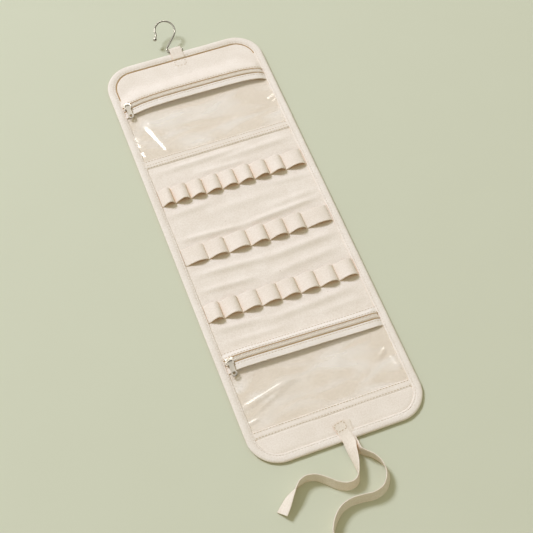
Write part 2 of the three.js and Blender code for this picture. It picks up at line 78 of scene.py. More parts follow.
ENDS = ("top", "bottom")
HALF_WIDTH = span("binding_top", 0)[1]
TOP_EDGE = span("binding_top", 1)[1]
BOTTOM_EDGE = span("binding_bottom", 1)[0]
BINDING_WIDTH = span("binding_left_middle", 0)[1] + HALF_WIDTH
FRONT_HALF = span("loop_tape_row_1", 0)[1]
LINING_TOP = span("lining_middle", 2)[1]
FRONT_LEVEL = span("loop_tape_row_1", 2)[0]
FRONT_TOP = span("hem_facing", 2)[1]
TAPE_TOP = span("top_zip_lower_tape", 2)[1]
HEADER_EDGE = span("header_facing", 1)[0]
CHAIN = {end: (span(f"{end}_zip_upper_coil", 1)[0] + span(f"{end}_zip_lower_coil", 1)[1]) / 2
         for end in ENDS}
SEAM = {end: span(f"{end}_pocket_seam_tape", 1) for end in ENDS}
ROW = {number: span(f"loop_tape_row_{number}", 1) for number in (1, 2, 3)}
BAR_Y, BAR_Z = (place / MM for place in next(
    joint["pos_m"][1:] for joint in frame["joints"] if joint["name"] == "hook_swing"))

# Real sizes that the solids share with this dressing
CORNER_RADIUS = 42
CLOTH_THICKNESS = 0.9
PLY_GAP = 0.1
LOOP_WIDTHS = {
    1: (16, 17, 17, 18, 18, 18, 18, 18, 24),
    2: (30, 20, 23, 18, 19, 18, 29),
    3: (19, 18, 20, 20, 19, 20, 20, 20),
}
LOOP_FLATTENING = 0.16
LOOP_EVEN_WIDTH = 18
LOOP_FOOT = 2
LOOP_THICKNESS = 1
TAB_X = -2
TAB_WIDTH = 18
WIRE_RADIUS = 1.35
TIE_WIDTH = 16
TIE_THICKNESS = 0.9

# The four lengths of cloth, whose ends meet under the loop tapes: lower and upper end, the bodies above and
# below the one fold where it bends, that fold, and how far the bend reaches to each side
CLOTH = {
    "top": (sum(ROW[1]) / 2, TOP_EDGE, "top_flap", "upper_panel", "top_fold", 19),
    "upper": (sum(ROW[2]) / 2, sum(ROW[1]) / 2, "upper_panel", "middle_panel", "upper_fold", 24),
    "lower": (sum(ROW[3]) / 2, sum(ROW[2]) / 2, "middle_panel", "lower_panel", "lower_fold", 24),
    "bottom": (BOTTOM_EDGE, sum(ROW[3]) / 2, "lower_panel", "bottom_flap", "bottom_fold", 22),
}
CLOTH_NODES = {"top": ("top",), "upper": ("upper",), "lower": ("middle",), "bottom": ("lower", "bottom")}
BINDING_NODES = {
    "top": ("binding_top",),
    "upper": ("binding_left_upper", "binding_right_upper"),
    "lower": ("binding_left_middle", "binding_right_middle"),
    "bottom": ("binding_left_lower", "binding_right_lower", "binding_bottom"),
}

# Tie routes: X, Y, height of the tape's middle and its turn from flat in degrees
TIE_NEAR = (
    (-2.2, -304, 5.5, 0), (0.4, -318, 5.6, 0), (1.9, -331, 6.9, 6), (1.5, -337.5, 8.2, 24),
    (0.5, -344, 8.8, 42), (-0.2, -356, 8.7, 62), (-1.4, -367, 8.6, 80), (-4, -378, 8.6, 98),
    (-9.7, -385.4, 8.4, 106), (-18, -387.6, 8.4, 110), (-27.2, -385.6, 8.4, 110), (-35.5, -380.2, 8.4, 109),
    (-42, -373.9, 8.4, 107), (-55, -363.4, 8.5, 103), (-67, -360.3, 8.5, 102), (-76, -362.3, 8.4, 98),
    (-83.5, -366.8, 8.4, 85), (-90, -371.8, 8, 66), (-97, -377.8, 6.8, 48), (-104, -384.8, 5.5, 36),
    (-111, -391.5, 4.5, 28),
)
TIE_FAR = (
    (6.4, -304, 4.45, 0), (5.4, -318, 4.5, 0), (4.9, -331, 4.85, 1), (5.2, -337.5, 5.5, 12),
    (6.8, -343.8, 7.4, 46), (10.2, -350, 8.7, 78), (15.4, -355, 8.6, 86), (22.4, -361.2, 8.6, 90),
    (28, -370, 8.5, 96), (31, -380.5, 8.4, 106), (29.4, -392, 8.4, 110), (20, -404.6, 8.4, 110),
    (5, -409.6, 8.4, 110), (-11.5, -408, 8.4, 110), (-25.5, -407.4, 8.4, 109), (-39, -410.8, 8.4, 107),
    (-51, -420, 8.4, 106), (-61.5, -434.6, 8.5, 98), (-66, -446, 8.2, 64), (-71, -456, 5.2, 28),
    (-76, -466, 1.6, 4),
)

# Where each zip's chain runs: X, how far it strays along the roll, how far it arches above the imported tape
ZIP_LINE = {
    "top": ((-112, -1.9, -4.9), (-107.5, -1.5, -4.0), (-103, -0.8, -1.2), (-98, -0.1, 0.2), (-88, 1.3, 0.8),
            (-75, 2.8, 1.3), (-50, 3.6, 2.0), (-20, 3.5, 2.4), (20, 3.1, 2.4), (50, 2.9, 2.1), (75, 2.3, 1.6),
            (88, 1.1, 1.1), (98, -0.4, 0.4), (103, -1.2, -1.2), (107.5, -1.8, -4.0), (112, -2.1, -4.9)),
    "bottom": ((-112, 1.0, -4.9), (-107.5, 1.4, -4.0), (-103, 1.7, -1.2), (-96, 1.8, 0.9), (-82, 1.8, 1.9),
               (-60, 1.2, 2.4), (-20, 0, 2.0), (20, -0.8, 1.4), (60, -1.7, 0.4), (90, -2.1, -0.6),
               (101, -2.0, -1.3), (107.5, -2.1, -4.0), (112, -2.3, -4.9)),
}
ZIP_LOWER_REACH = 15.4

# Soft folds across the bare cloth: start, end, height and width of each
CLOTH_FOLDS = (
    ((-112, 133), (60, 138), 1.6, 5), ((-20, 126), (118, 131), 1.5, 6), ((-60, 116), (40, 113), 1.0, 4),
    ((-116, 60), (-30, 64), 1.3, 6), ((-70, 47), (70, 51), 1.0, 8), ((30, 66), (116, 60), 0.9, 5),
    ((-116, 19), (0, 12), 1.9, 4.5), ((-30, 11), (118, 22), 2.2, 5), ((20, 28), (116, 34), 1.2, 6),
    ((-118, -40), (20, -47), 2.1, 6), ((-20, -49), (118, -40), 2.2, 7), ((-116, -66), (-10, -71), 1.6, 5),
    ((-20, -75), (112, -63), 1.5, 7), ((-116, -127), (-20, -133), 1.3, 5), ((-60, -139), (114, -128), 1.5, 6),
    ((-116, -150), (0, -153), 1.0, 5), ((20, -150), (114, -148), 0.8, 5),
)
FOLD_HEIGHT_SHARE = 1.35
FOLD_WIDTH_SHARE = 0.85


# Colour and nodes

# Sockets of a Mix node that mixes colours
COLOUR_A, COLOUR_B, COLOUR_OUT = 6, 7, 2


def linear(hex_colour):
    """An sRGB hex colour as linear red, green and blue."""
    shares = [int(hex_colour[i:i + 2], 16) / 255 for i in (0, 2, 4)]
    return tuple(c / 12.92 if c <= 0.04045 else ((c + 0.055) / 1.055) ** 2.4 for c in shares)


def shaded(colour, depth=1.0):
    """A colour as it looks down in the weave: darker, and browner as it darkens."""
    return tuple(c * (1 - depth * loss) for c, loss in zip(colour, (0.19, 0.225, 0.28)))


def add_node(tree, kind, inputs=None, **settings):
    """Adds one node with its settings, and fills its sockets with values or links; colours are opaque."""
    node = tree.nodes.new("ShaderNode" + kind)
    for name, value in settings.items():
        setattr(node, name, value)
    for name, value in (inputs or {}).items():
        if isinstance(value, bpy.types.Node):
            value = value.outputs[0]
        if isinstance(value, bpy.types.NodeSocket):
            tree.links.new(value, node.inputs[name])
        else:
            node.inputs[name].default_value = (*value, 1) if node.inputs[name].type == "RGBA" else value
    return node


def empty_tree(holder):
    """The node tree of a material or a world, with nothing in it."""
    holder.use_nodes = True
    holder.node_tree.nodes.clear()
    return holder.node_tree


def start_material(name):
    """An empty node material, its nodes, and the place on the object in millimetres."""
    material = bpy.data.materials.new(name)
    tree = empty_tree(material)
    place = add_node(tree, "TexCoord")
    in_mm = add_node(tree, "VectorMath", {0: place.outputs["Object"], "Scale": 1 / MM}, operation="SCALE")
    return material, tree, in_mm


def end_material(material, surface):
    """The material with its surface joined to its output."""
    add_node(material.node_tree, "OutputMaterial", {"Surface": surface})
    return material


def woven_cotton(name, colour, pitch, relief, fleck_spacing, with_painted_shade=True):
    """Plain-woven unbleached cotton: matt, softly mottled, with a thread grid and stray seed flecks.

    Hollows get a painted tan shade, mixed into the colour where little is open above,
    for light that has passed from cloth to cloth. Cloth under film gets none.
    The real thread pitch is about 0.6 mm. It is drawn coarser, so that the grain shows from a step away.
    """
    slub_size, cloud_size = 1.9, 26
    seed_radius, painted_shade_reach, thread_relief = 0.55, 11, 0.12
    material, tree, place = start_material(name)
    axes = add_node(tree, "SeparateXYZ", {0: place})
    waves = []
    for axis in "XY":
        phase = add_node(tree, "Math", {0: axes.outputs[axis], 1: 2 * pi / pitch}, operation="MULTIPLY")
        waves.append(add_node(tree, "Math", {0: phase}, operation="SINE"))
    weave = add_node(tree, "Math", {0: waves[0], 1: waves[1]}, operation="MULTIPLY")
    slub = add_node(tree, "TexNoise", {
        "Vector": place, "Scale": 1 / slub_size, "Detail": 2.0, "Roughness": 0.7})
    cloud = add_node(tree, "TexNoise", {"Vector": place, "Scale": 1 / cloud_size, "Detail": 2.0})
    seeds = add_node(tree, "TexVoronoi", {"Vector": place, "Scale": 1 / fleck_spacing})
    seed_share = seed_radius / fleck_spacing
    fleck = add_node(tree, "MapRange", {
        "Value": seeds, "From Min": seed_share, "From Max": 2 * seed_share, "To Min": 0.4, "To Max": 0.0})
    grain = add_node(tree, "MapRange", {"Value": slub, "From Min": 0.34, "From Max": 0.66})
    drift = add_node(tree, "MapRange", {"Value": cloud, "From Min": 0.3, "From Max": 0.7, "To Max": 0.35})
    mottle = add_node(tree, "Math", {0: grain, 1: 0.65, 2: drift}, operation="MULTIPLY_ADD")
    tone = add_node(tree, "Mix", {
        "Factor": mottle, COLOUR_A: colour, COLOUR_B: shaded(colour, 0.75)}, data_type="RGBA")
    tone = add_node(tree, "Mix", {
        "Factor": fleck, COLOUR_A: tone.outputs[COLOUR_OUT], COLOUR_B: linear("9A7B55")}, data_type="RGBA")
    # Painted shade: the colour turns towards tan where the cloth is closed in by what stands near it
    if with_painted_shade:
        openness = add_node(tree, "AmbientOcclusion", {"Distance": painted_shade_reach * MM}, samples=6)
        painted_shade_share = add_node(tree, "MapRange", {
            "Value": openness.outputs["AO"], "From Min": 0.1, "From Max": 0.7, "To Min": 0.95, "To Max": 0.0})
        tone = add_node(tree, "Mix", {
            "Factor": painted_shade_share, COLOUR_A: tone.outputs[COLOUR_OUT],
            COLOUR_B: linear("E3B985")}, data_type="RGBA")
    height = add_node(tree, "Math", {0: grain, 1: 0.9, 2: weave}, operation="MULTIPLY_ADD")
    bump = add_node(tree, "Bump", {"Strength": relief, "Distance": thread_relief * MM, "Height": height})
    return end_material(material, add_node(tree, "BsdfPrincipled", {
        "Base Color": tone.outputs[COLOUR_OUT], "Roughness": 0.92, "Specular IOR Level": 0.2,
        "Sheen Weight": 0.08, "Sheen Roughness": 0.5, "Normal": bump}))


def spun_thread(name, colour):
    """Spun cotton sewing thread: matt, with the slant of its twist every half millimetre."""
    twist_pitch, twist_relief = 0.502655, 0.06
    # A slanting wave repeats after this much of its scaled place
    wave_repeat = 2 * pi / 10
    material, tree, place = start_material(name)
    twist = add_node(tree, "TexWave", {
        "Vector": place, "Scale": wave_repeat / twist_pitch, "Distortion": 1.0}, bands_direction="DIAGONAL")
    slant = twist.outputs["Fac"]
    tone = add_node(tree, "Mix", {
        "Factor": slant, COLOUR_A: colour, COLOUR_B: shaded(colour)}, data_type="RGBA")
    bump = add_node(tree, "Bump", {"Strength": 0.5, "Distance": twist_relief * MM, "Height": slant})
    return end_material(material, add_node(tree, "BsdfPrincipled", {
        "Base Color": tone.outputs[COLOUR_OUT], "Roughness": 0.85, "Specular IOR Level": 0.25,
        "Normal": bump}))


def clouded(name, colour, cloud_size, detail, depth, surface):
    """A smooth finish whose colour drifts a little darker in soft clouds of one size."""
    material, tree, place = start_material(name)
    cloud = add_node(tree, "TexNoise", {"Vector": place, "Scale": 1 / cloud_size, "Detail": detail})
    tone = add_node(tree, "Mix", {
        "Factor": cloud, COLOUR_A: colour, COLOUR_B: shaded(colour, depth)}, data_type="RGBA")
    return end_material(material, add_node(tree, "BsdfPrincipled", {
        "Base Color": tone.outputs[COLOUR_OUT], **surface}))


def wound_nylon(colour):
    """Extruded nylon wire, wound to a coil: cream and satin."""
    return clouded("nylon_zip_coil", colour, 5, 2.0, 0.5, {"Roughness": 0.5, "IOR": 1.53})


def plated_metal(name, colour, roughness):
    """Barrel-polished plate on steel: it mirrors the pale room and its dark near side, a little blurred."""
    return clouded(name, colour, 4, 3.0, 0.4, {"Metallic": 1.0, "Roughness": roughness})


def painted_board(colour):
    """Matt emulsion on a smooth board: even, with the faintest roller cloud."""
    return clouded("matt_painted_board", colour, 90, 2.0, 0.1, {"Roughness": 0.8, "Specular IOR Level": 0.2})


def clear_film():
    """Soft calendered PVC film: see-through, faintly warm, mirror-bright where it bends to the light.

    It mirrors a little of the light head on, and more at a glance, by the usual fifth-power rule. In streaks
    it is milky, a real haze that also stands as a painted soft sheen. Near the zip it is clear, so that the
    shade under the zip's tape shows.
    """
    swell_size, swell_relief = 14, 1.0
    head_on, streak_size, streak_turn = 0.045, (85, 26, 50), -0.45
    material, tree, place = start_material("soft_clear_pvc_film")
    swell = add_node(tree, "TexNoise", {"Vector": place, "Scale": 1 / swell_size, "Detail": 1.0})
    bump = add_node(tree, "Bump", {"Strength": 0.15, "Distance": swell_relief * MM, "Height": swell})
    facing = add_node(tree, "LayerWeight", {"Blend": 0.5, "Normal": bump})
    glance = add_node(tree, "Math", {0: facing.outputs["Facing"], 1: 5.0}, operation="POWER")
    share = add_node(tree, "Math", {0: glance, 1: 0.95, 2: head_on}, operation="MULTIPLY_ADD")
    through = add_node(tree, "BsdfTransparent", {"Color": linear("F9F7F3")})
    mirror = add_node(tree, "BsdfGlossy", {"Color": linear("FFFFFF"), "Roughness": 0.17, "Normal": bump})
    # Painted sheen: streaks of white diffuse haze, which is partly the film's real milkiness
    drawn = add_node(tree, "Mapping", {
        "Vector": place, "Rotation": (0, 0, streak_turn), "Scale": [1 / size for size in streak_size]})
    clouds = add_node(tree, "TexNoise", {"Vector": drawn, "Scale": 1.0, "Detail": 1.0, "Distortion": 0.6})
    haze_and_sheen_share = add_node(tree, "MapRange", {"Value": clouds, "From Min": 0.45, "From Max": 0.68, "To Max": 0.3})
    # The haze and painted sheen fade out near the zip, so that the shade under its tape shows
    sheet = add_node(tree, "TexCoord")
    along = add_node(tree, "SeparateXYZ", {0: sheet.outputs["Generated"]})
    clear = add_node(tree, "MapRange", {
        "Value": along.outputs["Y"], "From Min": 0.66, "From Max": 0.86, "To Min": 1.0, "To Max": 0.0})
    haze_and_sheen_share = add_node(tree, "Math", {0: haze_and_sheen_share, 1: clear}, operation="MULTIPLY")
    haze_and_sheen = add_node(tree, "BsdfDiffuse", {"Color": linear("FAF6F0")})
    body = add_node(tree, "MixShader", {"Fac": haze_and_sheen_share, 1: through, 2: haze_and_sheen})
    return end_material(material, add_node(tree, "MixShader", {"Fac": share, 1: body, 2: mirror}))


# How each finish is made from the user's colours. Cotton also takes thread pitch, relief and fleck spacing,
# and whether its hollows get painted shade
FINISH_MAKERS = {
    "canvas": lambda s: woven_cotton("unbleached_cotton_canvas", s.canvas_colour, 1.5, 0.5, 24),
    "pocket": lambda s: woven_cotton(
        "unbleached_cotton_pocket", s.canvas_colour, 1.5, 0.5, 24, with_painted_shade=False),
    "back": lambda s: woven_cotton("unbleached_cotton_back", s.canvas_colour, 1.7, 0.5, 26),
    "binding": lambda s: woven_cotton("cotton_bias_binding", s.binding_colour, 1.5, 0.55, 30),
    "tape": lambda s: woven_cotton("woven_cotton_tape", s.tape_colour, 1.3, 0.55, 40),
    "tie": lambda s: woven_cotton("woven_cotton_tie_tape", s.tie_colour, 1.3, 0.6, 40),
    "zip_tape": lambda s: woven_cotton("woven_zip_tape", s.zip_tape_colour, 1.1, 0.4, 60),
    "coil": lambda s: wound_nylon(s.coil_colour),
    # The seam thread's darker colour also stands as painted shade in the needle holes
    "thread": lambda s: spun_thread("beige_thread_with_painted_shade", s.thread_colour),
    "binding_thread": lambda s: spun_thread("pale_sewing_thread", s.binding_thread_colour),
    # The cords' tan also stands as painted shade beside the coils and under the binding's inner edge
    "cord": lambda s: spun_thread("tan_cord_and_painted_shade", s.cord_and_shade_colour),
    "nickel": lambda s: plated_metal("satin_nickel_plate", s.nickel_colour, 0.3),
    "wire": lambda s: plated_metal("bright_chromed_wire", s.wire_colour, 0.2),
    "film": lambda s: clear_film(),
    "board": lambda s: painted_board(s.board_colour),
}
FINISHES = {}


def finish(name):
    """The named finish, made once."""
    if name not in FINISHES:
        FINISHES[name] = FINISH_MAKERS[name](bpy.context.scene.toiletry_roll)
    return FINISHES[name]


# Mesh building, in millimetres

def place_object(name, data):
    """A new object in the scene."""
    obj = bpy.data.objects.new(name, data)
    bpy.context.scene.collection.objects.link(obj)
    return obj


def smooth_object(name, mesh, finish_name):
    """A smooth-shaded object with one finish."""
    mesh.polygons.foreach_set("use_smooth", [True] * len(mesh.polygons))
    mesh.materials.append(finish(finish_name))
    return place_object(name, mesh)


def build_object(name, points, faces, finish_name, sharp_degrees=45):
    """An object from points and faces, which are turned outwards, with edges sharp above an angle."""
    mesh = bpy.data.meshes.new(name)
    mesh.from_pydata([(x * MM, y * MM, z * MM) for x, y, z in points], [], faces)
    shape = bmesh.new()
    shape.from_mesh(mesh)
    bmesh.ops.recalc_face_normals(shape, faces=shape.faces)
    shape.to_mesh(mesh)
    shape.free()
    obj = smooth_object(name, mesh, finish_name)
    mesh.set_sharp_from_angle(angle=radians(sharp_degrees))
    return obj


class Shape:
    """Points and faces collected from several closed bodies."""

    def __init__(self):
        self.points = []
        self.faces = []

    def add(self, points, faces):
        """One more body, its faces counted from its own first point."""
        start = len(self.points)
        self.points.extend(points)
        self.faces.extend(tuple(start + i for i in face) for face in faces)
        return self

    def add_sheet(self, top, low):
        """A closed sheet between an upper and a lower grid of points."""
        rows, columns = len(top), len(top[0])
        layer = rows * columns
        faces = []
        for j in range(rows - 1):
            for i in range(columns - 1):
                a = j * columns + i
                faces.append((a, a + 1, a + columns + 1, a + columns))
                faces.append((layer + a, layer + a + columns, layer + a + columns + 1, layer + a + 1))
        rim = list(range(columns))
        rim += [j * columns + columns - 1 for j in range(1, rows)]
        rim += [(rows - 1) * columns + i for i in range(columns - 2, -1, -1)]
        rim += [j * columns for j in range(rows - 2, 0, -1)]
        for a, b in zip(rim, rim[1:] + rim[:1]):
            faces.append((b, a, layer + a, layer + b))
        return self.add([p for grid in (top, low) for row in grid for p in row], faces)

    def add_sweep(self, rings):
        """A closed body through rings of points, with flat ends."""
        count = len(rings[0])
        faces = []
        for k in range(len(rings) - 1):
            for i in range(count):
                a = k * count + i
                b = k * count + (i + 1) % count
                faces.append((a, b, b + count, a + count))
        faces.append(tuple(range(count - 1, -1, -1)))
        last = (len(rings) - 1) * count
        faces.append(tuple(range(last, last + count)))
        return self.add([p for one in rings for p in one], faces)

    def finish(self, name, finish_name, sharp_degrees=45):
        """All bodies as one object."""
        return build_object(name, self.points, self.faces, finish_name, sharp_degrees)


def fasten(obj, slot, body=None, *nodes):
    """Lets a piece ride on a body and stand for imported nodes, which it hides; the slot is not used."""
    if body:
        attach(obj, body)
    if nodes:
        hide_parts(*nodes)
    return obj


def steps(low, high, size):
    """Even places from low to high, about one size apart."""
    count = max(2, round((high - low) / size))
    return [low + (high - low) * i / count for i in range(count + 1)]


def across(half, count):
    """Even places from one side to the other."""
    return steps(-half, half, 2 * half / count)


def arc(step, count, start=0):
    """Angles in radians, from one step past the start, in even steps of degrees."""
    return [radians(start + step * i) for i in range(1, count + 1)]


def ring(centre, wide, up, count=6):
    """Points round an ellipse with two given half axes."""
    turns = [2 * pi * i / count for i in range(count)]
    return [centre + wide * cos(a) + up * sin(a) for a in turns]


def lowered(grid, drop):
    """The same grid of points, moved down."""
    return [[(x, y, z - drop) for x, y, z in row] for row in grid]


def levelled(grid, height):
    """The same grid of points, all at one height."""
    return [[(x, y, height) for x, y, _ in row] for row in grid]


def heading(path, k):
    """Direction of a path of vectors at its point k."""
    return (path[min(k + 1, len(path) - 1)] - path[max(k - 1, 0)]).normalized()


def sides(corners):
    """The sides of a closed outline, each as a pair of its corners."""
    return list(zip(corners, corners[1:] + corners[:1]))


def ease(share):
    """Smooth step from 0 to 1."""
    t = min(max(share, 0), 1)
    return t * t * (3 - 2 * t)


def plateau(place, low, high, soft):
    """One between two places, falling smoothly to nought at each."""
    return ease((place - low) / soft) * ease((high - place) / soft)


def ripple(x, y, seed):
    """A smooth random height between about -1 and 1, at a place that is divided by the size of its hills.

    Each seed has its own pattern.
    """
    return noise.noise(Vector((x, y, seed)))


def ridge(x, y, start, end, height, width):
    """A soft fold in a sheet along a line, which dies out at both ends."""
    dx, dy = end[0] - start[0], end[1] - start[1]
    length = hypot(dx, dy)
    along = ((x - start[0]) * dx + (y - start[1]) * dy) / length
    aside = ((x - start[0]) * -dy + (y - start[1]) * dx) / length
    return height * plateau(along, 0, length, 0.35 * length) * exp(-(aside / width) ** 2)


def smooth_path(points, per_span):
    """A centripetal curve through points, as a list of vectors."""
    knots = [Vector(p) for p in points]
    knots = [2 * knots[0] - knots[1]] + knots + [2 * knots[-1] - knots[-2]]
    path = []
    for p0, p1, p2, p3 in zip(knots, knots[1:], knots[2:], knots[3:]):
        t0 = 0
        t1 = t0 + (p1 - p0).length ** 0.5
        t2 = t1 + (p2 - p1).length ** 0.5
        t3 = t2 + (p3 - p2).length ** 0.5
        for i in range(per_span):
            t = t1 + (t2 - t1) * i / per_span
            a1 = p0.lerp(p1, (t - t0) / (t1 - t0))
            a2 = p1.lerp(p2, (t - t1) / (t2 - t1))
            a3 = p2.lerp(p3, (t - t2) / (t3 - t2))
            b1 = a1.lerp(a2, (t - t0) / (t2 - t0))
            b2 = a2.lerp(a3, (t - t1) / (t3 - t1))
            path.append(b1.lerp(b2, (t - t1) / (t2 - t1)))
    path.append(knots[-2])
    return path


# Each stitch is a plump thread that dips in at both ends: share of its length, of its girth, and dip
STITCH_STATIONS = ((-0.5, 0.35, -0.5), (-0.3, 1, 0), (0.3, 1, 0), (0.5, 0.35, -0.5))
STITCH_LENGTH = 2.7
STITCH_FLATTENING = 1.25


def stitch_line(shape, path, radius):
    """Separate stitches laid along a line of points."""
    pitch = bpy.context.scene.toiletry_roll.stitch_pitch / MM
    lengths = [0]
    for a, b in zip(path, path[1:]):
        lengths.append(lengths[-1] + (b - a).length)
    count = max(1, int(lengths[-1] / pitch))
    segment = 0
    for i in range(count):
        middle = lengths[-1] / count * (i + 0.5)
        while segment < len(path) - 2 and lengths[segment + 1] < middle:
            segment += 1
        a, b = path[segment], path[segment + 1]
        along = (b - a).normalized()
        at = a.lerp(b, (middle - lengths[segment]) / max(lengths[segment + 1] - lengths[segment], 1e-6))
        side = along.cross(Z_AXIS).normalized()
        up = side.cross(along)
        shape.add_sweep([ring(at + along * share * STITCH_LENGTH + up * dip * radius,
                              side * STITCH_FLATTENING * radius * girth, up * radius * girth)
                         for share, girth, dip in STITCH_STATIONS])


def sew(name, lines, slot, body=None, radius=0.34, finish_name="thread"):
    """One object of stitches along several lines."""
    thread = Shape()
    for line in lines:
        stitch_line(thread, line, radius)
    return fasten(thread.finish(name, finish_name), slot, body)


# The outline and the surfaces of the roll

def blend_cloth(obj, part):
    """Bakes a length of cloth's placement into its points."""
    _, _, above, below, fold, reach = CLOTH[part]
    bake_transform(obj)


def half_at(y, inset):
    """Half the roll's width at a place along it, drawn in by an inset, with round corners."""
    half = HALF_WIDTH - inset
    radius = CORNER_RADIUS - inset
    into = max(y - (TOP_EDGE - inset - radius), (BOTTOM_EDGE + inset + radius) - y, 0)
    return half - radius + sqrt(max(radius * radius - into * into, 0))


def from_binding(x, y):
    """How far inside the binding a place lies."""
    return min(half_at(y, BINDING_WIDTH) - abs(x), min(TOP_EDGE - y, y - BOTTOM_EDGE) - BINDING_WIDTH)


def round_end(end, cut, inset, size, turns, middle_size):
    """Places from a cut at the left round one end to a cut at the right, with the direction inwards."""
    radius = CORNER_RADIUS - inset
    corner_x, corner_y = HALF_WIDTH - CORNER_RADIUS, end * (TOP_EDGE - CORNER_RADIUS)
    left = [(-corner_x - radius, y, 1, 0) for y in steps(*sorted((cut, corner_y)), size)]
    if end < 0:
        left.reverse()
    left += [(-corner_x - radius * cos(a), corner_y + end * radius * sin(a), cos(a), -end * sin(a))
             for a in turns]
    middle = [(x, end * (TOP_EDGE - inset), 0, -end) for x in steps(-corner_x, corner_x, middle_size)]
    return left + middle + [(-x, y, -nx, ny) for x, y, nx, ny in reversed(left)]


def edged_rows(low, high, edge, size):
    """Places along a sewn strip for its rows, with one close to each edge."""
    return [low, low + edge, *steps(low + 1.5, high - 1.5, size), high - edge, high]


def rows_between(low, high, inset, size):
    """Places along the roll for a sheet's rows, closer together round the corners."""
    radius = CORNER_RADIUS - inset
    straight_low = max(low, BOTTOM_EDGE + inset + radius)
    straight_high = min(high, TOP_EDGE - inset - radius)
    places = steps(straight_low, straight_high, size) if straight_high > straight_low else []
    turns = arc(7.5, 12)
    if low < straight_low:
        places = [straight_low - radius * sin(a) for a in reversed(turns)] + places
    if high > straight_high:
        places = places + [straight_high + radius * sin(a) for a in turns]
    return [y for y in places if low - 1e-6 <= y <= high + 1e-6]


def bare_share(y):
    """One on bare cloth, falling to nought where a tape or facing is sewn down."""
    zip_reach, soft = 15, 10
    sewn = [*ROW.values(), (SEAM["top"][0], TOP_EDGE), (BOTTOM_EDGE, CHAIN["bottom"] + zip_reach)]
    clear = min(max(low - y, y - high) for low, high in sewn)
    return ease(clear / soft)


def lining_at(x, y):
    """Height of the lining's upper face."""
    bare = bare_share(y)
    lift = 0.35 * (0.5 + ripple(x / 70, y / 42, 3.1))
    if bare > 0:
        lift += sum(ridge(x, y, start, end, FOLD_HEIGHT_SHARE * height, FOLD_WIDTH_SHARE * width)
                    for start, end, height, width in CLOTH_FOLDS)
    return LINING_TOP + bare * max(lift, 0)


def zip_line(end, x):
    """Where a zip's chain lies at one X: its Y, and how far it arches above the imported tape."""
    table = ZIP_LINE[end]
    k = max(i for i in range(len(table) - 1) if i == 0 or table[i][0] <= x)
    width = table[k + 1][0] - table[k][0]
    t = min(max((x - table[k][0]) / width, 0), 1)
    values = []
    for column in (1, 2):
        pulls = []
        for i in (k, k + 1):
            before, after = table[max(i - 1, 0)], table[min(i + 1, len(table) - 1)]
            pulls.append((after[column] - before[column]) / (after[0] - before[0]) * width)
        start, stop = table[k][column], table[k + 1][column]
        bend = t * (1 - t) ** 2 * pulls[0] - t * t * (1 - t) * pulls[1]
        values.append(start + ease(t) * (stop - start) + bend)
    return CHAIN[end] + values[0], values[1]


# Sizes and colours that a user would change

def length_setting(name, description, default):
    return bpy.props.FloatProperty(
        name=name, description=description, default=default, min=0.0, unit="LENGTH", subtype="DISTANCE")


def colour_setting(name, description, hex_colour):
    return bpy.props.FloatVectorProperty(
        name=name, description=description, default=linear(hex_colour), min=0.0, max=1.0, subtype="COLOR")


def power_setting(name, description, default):
    return bpy.props.FloatProperty(name=name, description=description, default=default, min=0.0, unit="POWER")


class RollSettings(bpy.types.PropertyGroup):
    """Sizes, colours and lights of the dressing."""
    stitch_pitch: length_setting("Stitch Pitch", "Distance from one stitch to the next", 0.0042)
    tooth_pitch: length_setting("Tooth Pitch", "Distance between the turns of one zip coil", 0.002)
    crown: length_setting("Binding Crown", "Height that the binding puffs above its solid", 0.0015)
    loop_rise: length_setting("Loop Rise", "Height of an even tool loop at its upper edge", 0.006)
    canvas_colour: colour_setting("Canvas", "Colour of the canvas", "F9F0E4")
    binding_colour: colour_setting("Binding", "Colour of the edge binding", "F9F1E6")
    tape_colour: colour_setting("Cotton Tape", "Colour of the loops and the tab", "F8EEE1")
    tie_colour: colour_setting("Tie Tape", "Colour of the two ties", "F6ECDD")
    zip_tape_colour: colour_setting("Zip Tape", "Colour of the zip tapes", "F8F1E7")
    coil_colour: colour_setting("Zip Coil", "Colour of the nylon coils", "F1E7D6")
    # The seam thread is drawn darker than the cloth, so that it also stands as painted shade in the needle
    # holes
    thread_colour: colour_setting("Thread", "Colour of the stitches along the seams", "D6C4A6")
    binding_thread_colour: colour_setting(
        "Binding Thread", "Colour of the stitches along the binding", "F3EBDF")
    # The cords' tan also stands as painted shade beside the coils and under the binding's inner edge
    cord_and_shade_colour: colour_setting("Edge Cord", "Colour of the cords along the coils and the header", "C6A472")
    nickel_colour: colour_setting("Slider", "Colour of the sliders and pulls", "DAD3C7")
    wire_colour: colour_setting("Hook", "Colour of the hook's wire and ball", "BDB8AE")
    board_colour: colour_setting("Board", "Colour of the board below", "D2D5BD")
    key_power: power_setting(
        "Key Lamp", "Power of the large soft lamp beyond the hook, which lights the cloth", 525.0)
    card_power: power_setting(
        "Cards", "Power of the bright cards, which show only in the films and the metal", 62.0)
    fill_light: bpy.props.FloatProperty(
        name="Fill", description="Strength of the even warm light from the room", default=0.47, min=0.0)


class PieceOperator:
    """Shared by the operators: build the pieces, and stop the script if that fails."""
    bl_options = {"REGISTER"}

    def execute(self, context):
        self.make(context.scene.toiletry_roll)
        return {"FINISHED"}


